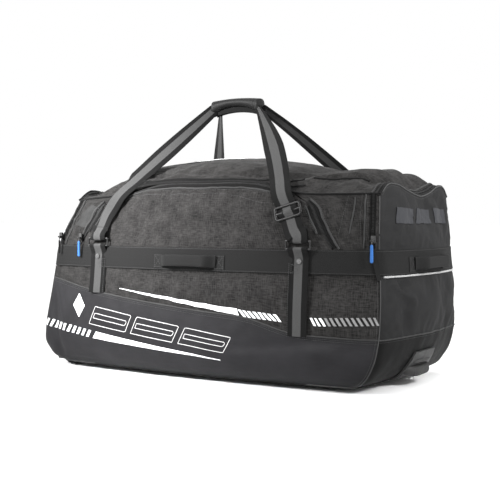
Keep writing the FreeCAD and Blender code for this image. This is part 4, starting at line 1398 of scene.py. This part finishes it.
def make_patches():
    """Small sewn-on pieces: a label on the crest, a mesh vent, a ribbed tab and box-stitched tabs."""
    rows = [[top_place(x, y) for x in np.linspace(-0.120, 0.024, 12)]
            for y in (-0.062, -0.036, -0.010, 0.016)]
    put(patch("crest_label", "top", rows, 0.0016, 0.0012), both("label"), "bag", "webbing")
    vent = [[(-0.392, 0.366), (-0.352, 0.360)], [(-0.372, 0.398), (-0.333, 0.388)],
            [(-0.345, 0.420), (-0.312, 0.409)]]
    put(patch("gusset_vent", "front", vent, 0.0010, 0.0012, 0.004), both("mesh"), "bag", "lining")
    tab = [[(0.452, 0.316), (0.461, 0.317)], [(0.459, 0.284), (0.468, 0.286)],
           [(0.467, 0.250), (0.476, 0.252)]]
    put(patch("corner_tab", "front", tab, 0.0062, 0.0030, 0.003), both("cord"), "bag", "webbing")
    tabs = []
    for side in (*SIDES, *ENDS):
        for sign in (-1, 1):
            x = sign * HANDLE_END
            rows = [[(x - 0.014, z), (x + 0.014, z)] for z in (0.266, 0.280, 0.300)]
            tabs.append(patch("tab", side, rows, BAND_K + 0.0015, 0.0014, 0.005))
    put(join("handle_tabs", tabs), both("handle"), "bag", "webbing")


make_graphics()
make_patches()


# ------------------------------------------------------------------ stitching
def stitch_path(side, points, k=0.0006, smooth=True):
    centre, normal = skin_line(side, points, k, STITCH_PITCH, smooth)
    return boxes("stitch", centre, *frames(centre, normal), STITCH_SIZE)


def box_stitch(side, x0, x1, z0, z1, k):
    """A square of stitches with its two diagonals."""
    square = [(x0, z0), (x1, z0), (x1, z1), (x0, z1), (x0, z0)]
    diagonals = [[(x0, z0), (x1, z1)], [(x1, z0), (x0, z1)]]
    return [stitch_path(side, path, k, False) for path in [square] + diagonals]


def make_stitches():
    on_bag, band_top = [], BAND_K + 0.0003
    for side in SIDES:
        for z in (BAND[0] + 0.0025, BAND[1] - 0.0025):
            on_bag.append(stitch_path(side, level(side, z), band_top))
        for drop in (0.0045, 0.0085):
            on_bag.append(stitch_path(side, curve_row(coated_seam, -0.99, 0.99, drop=drop)))
        for sign in (-1, 1):
            low = float(coated_seam(sign * STRAP_X))
            for edge in (-0.0225, 0.0225):
                x = sign * STRAP_X + edge
                on_bag.append(stitch_path(side, [(x, low), (x, 0.284)], 0.0054, False))
            x0, x1 = sign * STRAP_X - 0.017, sign * STRAP_X + 0.017
            on_bag += box_stitch(side, x0, x1, 0.264, 0.283, 0.0054)
            on_bag.append(stitch_path(side, corner_edge(sign, 0.02, 0.255, 0.985), 0.0006))
    for side in ENDS:
        for z in (BAND[0] + 0.0025, BAND[1] - 0.0025):
            on_bag.append(stitch_path(side, level(side, z), band_top))
        on_bag.append(stitch_path(side, level(side, KICK_SEAM_Z - 0.005)))
    for side in (*SIDES, *ENDS):
        for sign in (-1, 1):
            x0, x1 = sign * HANDLE_END - 0.011, sign * HANDLE_END + 0.011
            on_bag += box_stitch(side, x0, x1, 0.269, 0.297, BAND_K + 0.0018)
    for sign in (-1, 1):
        on_bag.append(stitch_path("front", leg_line(sign, 0.352, 0.424, 0.0195)))
        on_bag.append(stitch_path("front", [(sign * 0.378, 0.352), (sign * 0.392, 0.434)]))
        for u in (0.935, 0.905):
            on_bag.append(stitch_path("front", corner_edge(sign, 0.350, 0.436, u)))
    put(join("body_stitches", on_bag), M["thread"], "bag", "webbing")
    on_flap = [stitch_path("front", leg_line(sign, FOLD_Z + 0.003, 0.408, -0.0190)) for sign in (-1, 1)]
    on_flap.append(stitch_path("front", mouth_line(0.0175, 0.245)))
    on_flap.append(stitch_path("front", [(x, z - 0.0035) for x, z in FLAP_SEAM]))
    put(join("flap_stitches", on_flap), M["thread"], "main_flap", "webbing")
    for name in ("right", "left"):
        rows = [stitch_path(name, end_top_edge(0.0070, 0.96), 0.0006)]
        put(join(name + "_flap_stitches", rows), M["thread"], name + "_pocket_flap", "webbing")


make_stitches()


# ------------------------------------------------------------------ webbing straps
def ring_y(which):
    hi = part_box("strap_rings")[1]
    return (hi.y - RING_R) * which


def outward_of(run, which):
    """Directions square to a strap that lies across x, pointing away from the bag."""
    out = unit(np.cross(np.array([1.0, 0, 0]), run))
    return out if out[len(out) // 2, 1] * which > 0 else -out


def make_lower_straps():
    parts = []
    for side, which in SIDES.items():
        for sign in (-1, 1):
            x, y = sign * STRAP_X, ring_y(which)
            low = float(coated_seam(x)) - 0.004
            on, _ = on_skin(side, np.full(12, x), np.linspace(low, 0.298, 12), 0.0039)
            r = RING_R + 0.0015
            loop = [(x, y + which * r * math.cos(a), RING_LOW + r * math.sin(a))
                    for a in np.linspace(-0.3, math.pi, 8)]
            back = [(x, y - which * (r + 0.0005), RING_LOW - 0.006)]
            centre = rounded(np.vstack([on, np.array(loop), np.array(back)]), 70)
            out = unit(np.cross(np.tile([1.0, 0, 0], (70, 1)), np.gradient(centre, axis=0)))
            if out[5, 1] * which < 0:
                out = -out
            parts.append(sweep("lower_strap", centre, out, flat_profile(STRAP_W, WEB)))
    put(join("lower_strap_webs", parts), M["strap"], "bag", "webbing", "lower_straps")


make_lower_straps()

# Low run of the straps by end: distance from the middle, height and k
STRAP_ROUTES = {
    -1: ((0.287, 0.362, 0.012), (0.274, 0.400, 0.012), (0.243, 0.441, 0.016)),
    1: ((0.277, 0.362, 0.012), (0.259, 0.400, 0.012), (0.237, 0.441, 0.016)),
}
# By end and side: sideways bow, upward bow, reach from the grip's middle, end width,
# and the turn in degrees low down, at the shoulder and at the grip
STRAP_SHAPES = {
    (-1, -1): (-0.008, 0.0, 0.064, 0.58, (0, 10, 40)),
    (1, -1): (0.019, 0.0, 0.066, 0.22, (0, 0, 0)),
    (-1, 1): (0.004, 0.0, 0.058, 0.55, (0, -26, -56)),
    (1, 1): (-0.004, 0.005, 0.064, 0.9, (0, 0, -10)),
}
FOLDED_STRAP = (-1, -1)          # this one has its outer third tucked under, low down
GRIP_LOW, GRIP_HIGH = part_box("front_grip_half")
BACK_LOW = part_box("back_grip_half")[0]
GRIP = Vector(((GRIP_LOW.x + GRIP_HIGH.x) / 2, (GRIP_HIGH.y + BACK_LOW.y) / 2, 0.668))
GRIP_HALF = (GRIP_HIGH.x - GRIP_LOW.x) / 2
STRAP_CELLS = 10


def side_point(x, z, k, which):
    u = u_of(x, z)
    return (x, which * (float(HALF_W(z) + BULGE_Y(z) * (1 - u * u)) + k), z)


def carry_route(sign, which):
    spread, lift, reach, _, _ = STRAP_SHAPES[sign, which]
    points = [side_point(sign * x, z, k, which) for x, z, k in STRAP_ROUTES[sign]]
    start = np.array(points[-1])
    finish = np.array((GRIP.x + sign * reach, GRIP.y + which * 0.010, GRIP.z - 0.004))
    for t in np.linspace(0, 1, 7)[1:]:
        bow = math.sin(math.pi * t)
        p = start + (finish - start) * t
        rise = lift * math.sin(math.pi * t ** 1.8)
        points.append((p[0] + sign * spread * bow, p[1] + which * 0.009 * bow, p[2] + rise))
    return points


def adjuster_frame():
    """Centre, width, run and outward directions of the adjuster on the front right strap."""
    route = [np.array(p) for p in carry_route(1, -1)]
    run = unit(route[2] - route[0])
    across = unit(np.array([1.0, 0, 0]) - run * run[0])
    out = np.cross(across, run)
    out = out if out[1] < 0 else -out
    return route[1], across, run, out


def make_carry_strap(sign, which):
    x, y = sign * STRAP_X, ring_y(which)
    r = RING_R + 0.0016
    back = [(x - sign * 0.004, y - which * (r + 0.001), RING_HIGH + 0.030),
            (x - sign * 0.002, y - which * (r + 0.0012), RING_HIGH + 0.015)]
    loop = [(x, y + which * r * math.cos(a), RING_HIGH + r * math.sin(a))
            for a in np.linspace(math.pi, 2 * math.pi, 7)]
    rise = [(x, y + which * (r - 0.0005), RING_HIGH + 0.010)]
    count = 240
    centre = rounded(back + loop + rise + carry_route(sign, which), count)
    run = unit(np.gradient(centre, axis=0))
    out = outward_of(run, which)
    if (sign, which) == (1, -1):
        near = np.linalg.norm(centre - adjuster_frame()[0], axis=1)
        centre = centre + out * (0.0044 * np.exp(-(near / 0.0065) ** 2))[:, None]
    _, _, _, end_width, turns = STRAP_SHAPES[sign, which]
    along = np.linspace(0, 1, count)
    angle = np.radians(np.interp(along, (0.12, 0.50, 1.0), turns))
    across = np.cross(run, out)
    out = out * np.cos(angle)[:, None] + across * np.sin(angle)[:, None]
    widths = 1 - (1 - end_width) * np.clip((along - 0.62) / 0.38, 0, 1) ** 1.3
    tuck = np.interp(along, (0.08, 0.14, 0.34, 0.46), (0, 1, 1, 0))
    tuck = tuck * ((sign, which) == FOLDED_STRAP)
    obj = strap_mesh(centre, out, widths, tuck, sign)
    # Faces on the bag side of the profile take material 1, the webbing with painted shade on its stripe
    sides = 2 * (STRAP_CELLS + 1)
    for number, p in enumerate(obj.data.polygons):
        p.material_index = int(number % sides > STRAP_CELLS)
    return obj


def strap_mesh(centre, outward, widths, tuck, sign):
    """Webbing along a line. tuck, 0 to 1, folds the third of its width on the sign side under."""
    _, across, out = frames(centre, outward)
    if across[10, 0] * sign < 0:
        across = -across
    profile = np.array(flat_profile(STRAP_W, WEB, 0.0008, STRAP_CELLS))
    crease = 0.0125
    wide, rise = profile[None, :, 0] * widths[:, None], np.repeat(profile[None, :, 1], len(centre), 0)
    over = np.clip(wide - crease, 0, None)
    angle = (tuck * math.radians(100))[:, None]
    wide = np.where(over > 0, crease + over * np.cos(angle), wide)
    rise = rise - over * np.sin(angle)
    verts = centre[:, None] + across[:, None] * wide[..., None] + out[:, None] * rise[..., None]
    return tube("carry_strap", verts, sweep_uv(centre, profile))


def make_carry_straps():
    for side, which in SIDES.items():
        for hand, sign in (("left", -1), ("right", 1)):
            node = f"{side}_{hand}_carry_strap"
            strap = make_carry_strap(sign, which)
            strap.name = node + "_web"
            put(strap, [M["strap"], M["strap_painted_shade"]], side + "_loop", "webbing", node)


def make_adjuster():
    """Rounded three-bar buckle that the front right strap is threaded through."""
    centre, across, run, out = adjuster_frame()
    run = run + np.array([0, 0, 0.7])
    run = unit(run - out * (run @ out))
    across = np.cross(run, out)
    across = across if across[0] > 0 else -across
    origin = centre + out * 0.0030
    half_w, half_h, r = 0.0320, 0.0145, 0.005
    loop = []
    for cx, cy, start in ((1, 1, 0), (-1, 1, 90), (-1, -1, 180), (1, -1, 270)):
        for a in np.radians(np.linspace(start, start + 90, 5)):
            px, py = cx * (half_w - r) + r * math.cos(a), cy * (half_h - r) + r * math.sin(a)
            loop.append(origin + across * px + run * py)
    loop = resample(loop + loop[:1], 64)
    rim = sweep("rim", loop, np.tile(out, (64, 1)), round_profile(0.0033, 12, 0.75))
    line = origin + across * np.linspace(-half_w, half_w, 12)[:, None]
    bar = sweep("bar", line, np.tile(out, (12, 1)), round_profile(0.0030, 12, 0.7))
    put(join("adjuster_buckle", [rim, bar]), M["buckle"], "front_loop", "buckle", "strap_adjuster")


make_carry_straps()
make_adjuster()


# ------------------------------------------------------------------ grip
GRIP_TOP, GRIP_BELLY, GRIP_END = GRIP_HIGH.z - 0.0006, 0.6665, 0.6480


def grip_section(t, which, swell=0.0):
    """Half-round section of the grip at t, -1 to 1 along it."""
    depth = (GRIP_HIGH.y - GRIP_LOW.y - 0.0012) * (1 - 0.12 * t * t)
    top = GRIP_TOP - 0.004 * t * t
    low = GRIP_BELLY + (GRIP_END - GRIP_BELLY) * abs(t) ** 2.2
    rim = 1.0 + 0.05 * (0.93 < abs(t) < 0.985) - 0.05 * math.exp(-((t - 0.84) / 0.02) ** 2)
    close = 0.55 if abs(t) > 0.985 else 1.0
    middle, half = (top + low) / 2, (top - low) / 2
    ring = []
    for a in np.linspace(-math.pi / 2, math.pi / 2, 15):
        ca, sa = math.cos(a) ** 0.72, math.sin(a)
        sa = math.copysign(abs(sa) ** 0.82, sa)
        ring.append((GRIP.x + t * GRIP_HALF, GRIP.y + which * (0.0003 + (depth * rim * close + swell) * ca),
                     middle + half * (0.9 + 0.1 * min(rim, 1.0)) * close * sa))
    return ring


def make_grip_wrap(side, which):
    stations = np.concatenate([[-1, -0.985], np.linspace(-0.98, 0.98, 47), [0.985, 1]])
    obj = loft(side + "_grip_wrap", [grip_section(t, which) for t in stations])
    put(obj, M["grip"], side + "_loop", "grip", side + "_grip_half")


def make_grip_stitches(side, which):
    rows = []
    for t in (-0.90, 0.79, 0.90):
        ring = resample(grip_section(t, which, 0.0002)[2:-2], 9)
        run = unit(np.gradient(ring, axis=0))
        across = np.tile([1.0, 0, 0], (9, 1))
        rows.append(boxes("stitch", ring, run, across, np.cross(run, across), STITCH_SIZE))
    put(join(side + "_grip_stitches", rows), M["thread"], side + "_loop", "grip")


def make_under_grip(side, which):
    """The straps' own webbing, seen below the wrap."""
    rings = []
    for t in np.linspace(-1, 1, 41):
        low, high = 0.6440 + 0.0095 * (1 - t * t), 0.6690 - 0.010 * t ** 4
        centre = np.array((GRIP.x + t * (GRIP_HALF - 0.004), GRIP.y + which * 0.006, (low + high) / 2))
        rings.append(oval_ring(centre, np.array((0, 1.0, 0)), np.array((0, 0, 1.0)), 0.0024,
                               (high - low) / 2, 16, 0.6))
    put(loft(side + "_under_grip", rings), M["under"], side + "_loop", "webbing")


for side, which in SIDES.items():
    make_grip_wrap(side, which)
    make_grip_stitches(side, which)
    make_under_grip(side, which)


# ------------------------------------------------------------------ grab handles
OUTWARD = {"front": (0, -1, 0), "back": (0, 1, 0), "right": (1, 0, 0), "left": (-1, 0, 0)}


def make_grab_handle(name):
    """Padded webbing handle that stands off the band between its sewn ends."""
    node = name + "_grab_handle"
    lo, hi = (np.array(v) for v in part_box(node))
    out = np.array(OUTWARD[name], float)
    axis = int(np.argmin(np.abs(out[:2])))
    half, count = (hi[axis] - lo[axis]) / 2, 61
    t = np.linspace(-1, 1, count)
    base, _ = on_skin(name, t * half, np.full(count, 0.284), BAND_K + 0.0030)
    lift = np.clip((1 - np.abs(t)) / 0.34, 0, 1)
    lift = lift * lift * (3 - 2 * lift)
    face = max(hi @ out, lo @ out) - 0.0036
    centre = base + out * ((face - base @ out) * lift)[:, None]
    centre[:, 2] += 0.0022 * (1 - t * t)
    profile = oval_ring(np.zeros(2), np.array((1.0, 0)), np.array((0, 1.0)), 0.0142, 0.0031, 24, 0.55)
    widths = 1.04 - 0.10 * lift
    obj = sweep(name + "_grab_loop", centre, np.tile(out, (count, 1)), profile, widths=widths)
    put(obj, M["handle"], "bag", "webbing", node)


for name in OUTWARD:
    make_grab_handle(name)


# ------------------------------------------------------------------ wheels and lifting handle
def make_tyre(name):
    """Tyre with a ribbed tread, turned about its axle."""
    lo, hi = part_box(name + "_tyre")
    middle, radius, half = (lo + hi) / 2, (hi.z - lo.z) / 2, (hi.y - lo.y) / 2
    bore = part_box(name + "_hub")[1].z - middle.z + 0.0002
    section = [(bore, -0.80), (radius * 0.86, -0.92), (radius - 0.004, -1.0), (radius - 0.001, -0.80),
               (radius, -0.45), (radius, -0.06), (radius - 0.0024, -0.05), (radius - 0.0024, 0.05),
               (radius, 0.06), (radius, 0.45), (radius - 0.001, 0.80), (radius - 0.004, 1.0),
               (radius * 0.86, 0.92), (bore, 0.80)]
    count, rings = 144, []
    for i in range(count):
        a = 2 * math.pi * i / count
        dip = 0.0018 if i % 6 in (0, 1) else 0.0
        ring = []
        for r, y in section:
            r = r - dip if abs(y) > 0.3 and r > radius - 0.002 else r
            ring.append((middle.x + r * math.cos(a), middle.y + y * half, middle.z + r * math.sin(a)))
        rings.append(ring)
    m = len(section)
    faces = [(i * m + j, i * m + (j + 1) % m, (i + 1) % count * m + (j + 1) % m, (i + 1) % count * m + j)
             for i in range(count) for j in range(m)]
    obj = solid(name + "_tread", np.array(rings).reshape(-1, 3), faces, sharp=math.radians(28))
    put(obj, M["tyre"], name + "_wheel", "tyre", name + "_tyre")


def make_lift_handle():
    """Moulded cup on the lower right edge: a curved flange, a finger slot and a ribbed lip."""
    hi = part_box("lift_handle")[1]
    half = hi.y - 0.0015
    flange = []
    for z in np.linspace(0.018, hi.z, 21):
        share = (z - 0.018) / (hi.z - 0.018)
        reach = half * (0.90 + 0.10 * math.sqrt(max(0.0, 1 - share ** 4))) * (1 - 0.10 * share)
        flange.append([(v * reach, z) for v in np.linspace(-1, 1, 9)])
    plate = patch("plate", "right", flange, 0.0050, 0.0044, 0.004, puff=0.0020)
    across, up = np.array((0.80, 0, -0.60)), np.array((0.60, 0, 0.80))
    hood, lip = [], []
    for v in np.linspace(-1, 1, 81):
        near = (1 - abs(v) ** 5)
        centre = np.array((0.458 + 0.0170 * near, v * (half - 0.004), 0.071 - 0.006 * near))
        hood.append(oval_ring(centre, across, up, 0.0150, 0.0045, 18, 0.7))
    for v in np.linspace(-1, 1, 121):
        near = 1 - abs(v) ** 4
        rib = 1 - 0.05 * (math.sin(v * math.pi * 16) > 0.35) * (abs(v) < 0.8)
        centre = np.array((0.456 + 0.0210 * near, v * (half - 0.006), 0.044 - 0.0090 * near))
        lip.append(oval_ring(centre, np.array((0.9, 0, 0.3)), np.array((-0.3, 0, 0.9)), 0.0115 * rib,
                             0.0125 * rib, 20, 0.85))
    parts = [plate, loft("hood", hood), loft("lip", lip)]
    put(join("lift_cup", parts), both("moulding"), "bag", "moulding", "lift_handle")


make_tyre("front")
make_tyre("back")
make_lift_handle()


# ------------------------------------------------------------------ stage, light and camera
def make_stage():
    mesh = bpy.data.meshes.new("floor")
    size = 40.0
    mesh.from_pydata([(-size, -size, 0), (size, -size, 0), (size, size, 0), (-size, size, 0)],
                     [], [(0, 1, 2, 3)])
    floor = bpy.data.objects.new("floor", mesh)
    link(floor)
    s = Shader("floor_paint", rough=0.9, specular=0.1)
    s.colour((0.92, 0.92, 0.92))
    mesh.materials.append(s.mat)


def area_light(name, location, target, size, power, spread=180):
    data = bpy.data.lights.new(name, "AREA")
    data.energy, data.size, data.spread = power, size, math.radians(spread)
    lamp = bpy.data.objects.new(name, data)
    lamp.location = location
    lamp.rotation_mode = "QUATERNION"
    lamp.rotation_quaternion = (Vector(target) - Vector(location)).to_track_quat("-Z", "Y")
    lamp.visible_camera = False
    link(lamp)


def sky_light(power):
    """A soft light from straight above, the same over the whole floor."""
    data = bpy.data.lights.new("sky", "SUN")
    data.energy, data.angle = power, math.radians(60)
    link(bpy.data.objects.new("sky", data))


def make_camera():
    data = bpy.data.cameras.new("camera")
    data.sensor_width, data.lens = 36.0, 74.4
    cam = bpy.data.objects.new("camera", data)
    target = Vector((0.010, 0.0, 0.304))
    azimuth, elevation, distance = math.radians(32.8), math.radians(1.83), 2.636
    back = Vector((math.sin(azimuth) * math.cos(elevation),
                   -math.cos(azimuth) * math.cos(elevation), math.sin(elevation)))
    cam.location = target + back * distance
    cam.rotation_mode = "QUATERNION"
    cam.rotation_quaternion = (-back).to_track_quat("-Z", "Y")
    link(cam)
    bpy.context.scene.camera = cam


def make_light():
    world = bpy.data.worlds.new("studio")
    world.use_nodes = True
    world.node_tree.nodes["Background"].inputs[0].default_value = (1, 1, 1, 1)
    world.node_tree.nodes["Background"].inputs[1].default_value = 1.0
    bpy.context.scene.world = world
    area_light("key", (-0.85, -1.35, 1.0), (-0.24, -0.22, 0.41), 0.45, 8, 42)
    area_light("end_fill", (2.2, -0.5, 1.5), (0.49, 0, 0.47), 0.6, 4, 36)
    area_light("rim", (-1.2, 1.6, 1.9), (0, 0, 0.45), 1.2, 7)
    sky_light(0.9)


make_stage()
make_camera()
make_light()
bpy.context.scene.view_settings.view_transform = "Standard"

KEPT_NODES = {
    "base_board": "board", "front_wheel_housing": "moulding", "back_wheel_housing": "moulding",
    "front_hub": "hub", "back_hub": "hub", "wheel_axles": "steel", "rubber_feet": "rubber",
    "strap_rings": "ring", "strap_rivets": "rivet", "main_slider": "slider",
    "right_pocket_slider": "slider", "left_pocket_slider": "slider",
}
for node, mat in KEPT_NODES.items():
    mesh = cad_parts[node].data
    mesh.materials.clear()
    mesh.materials.append(M[mat])
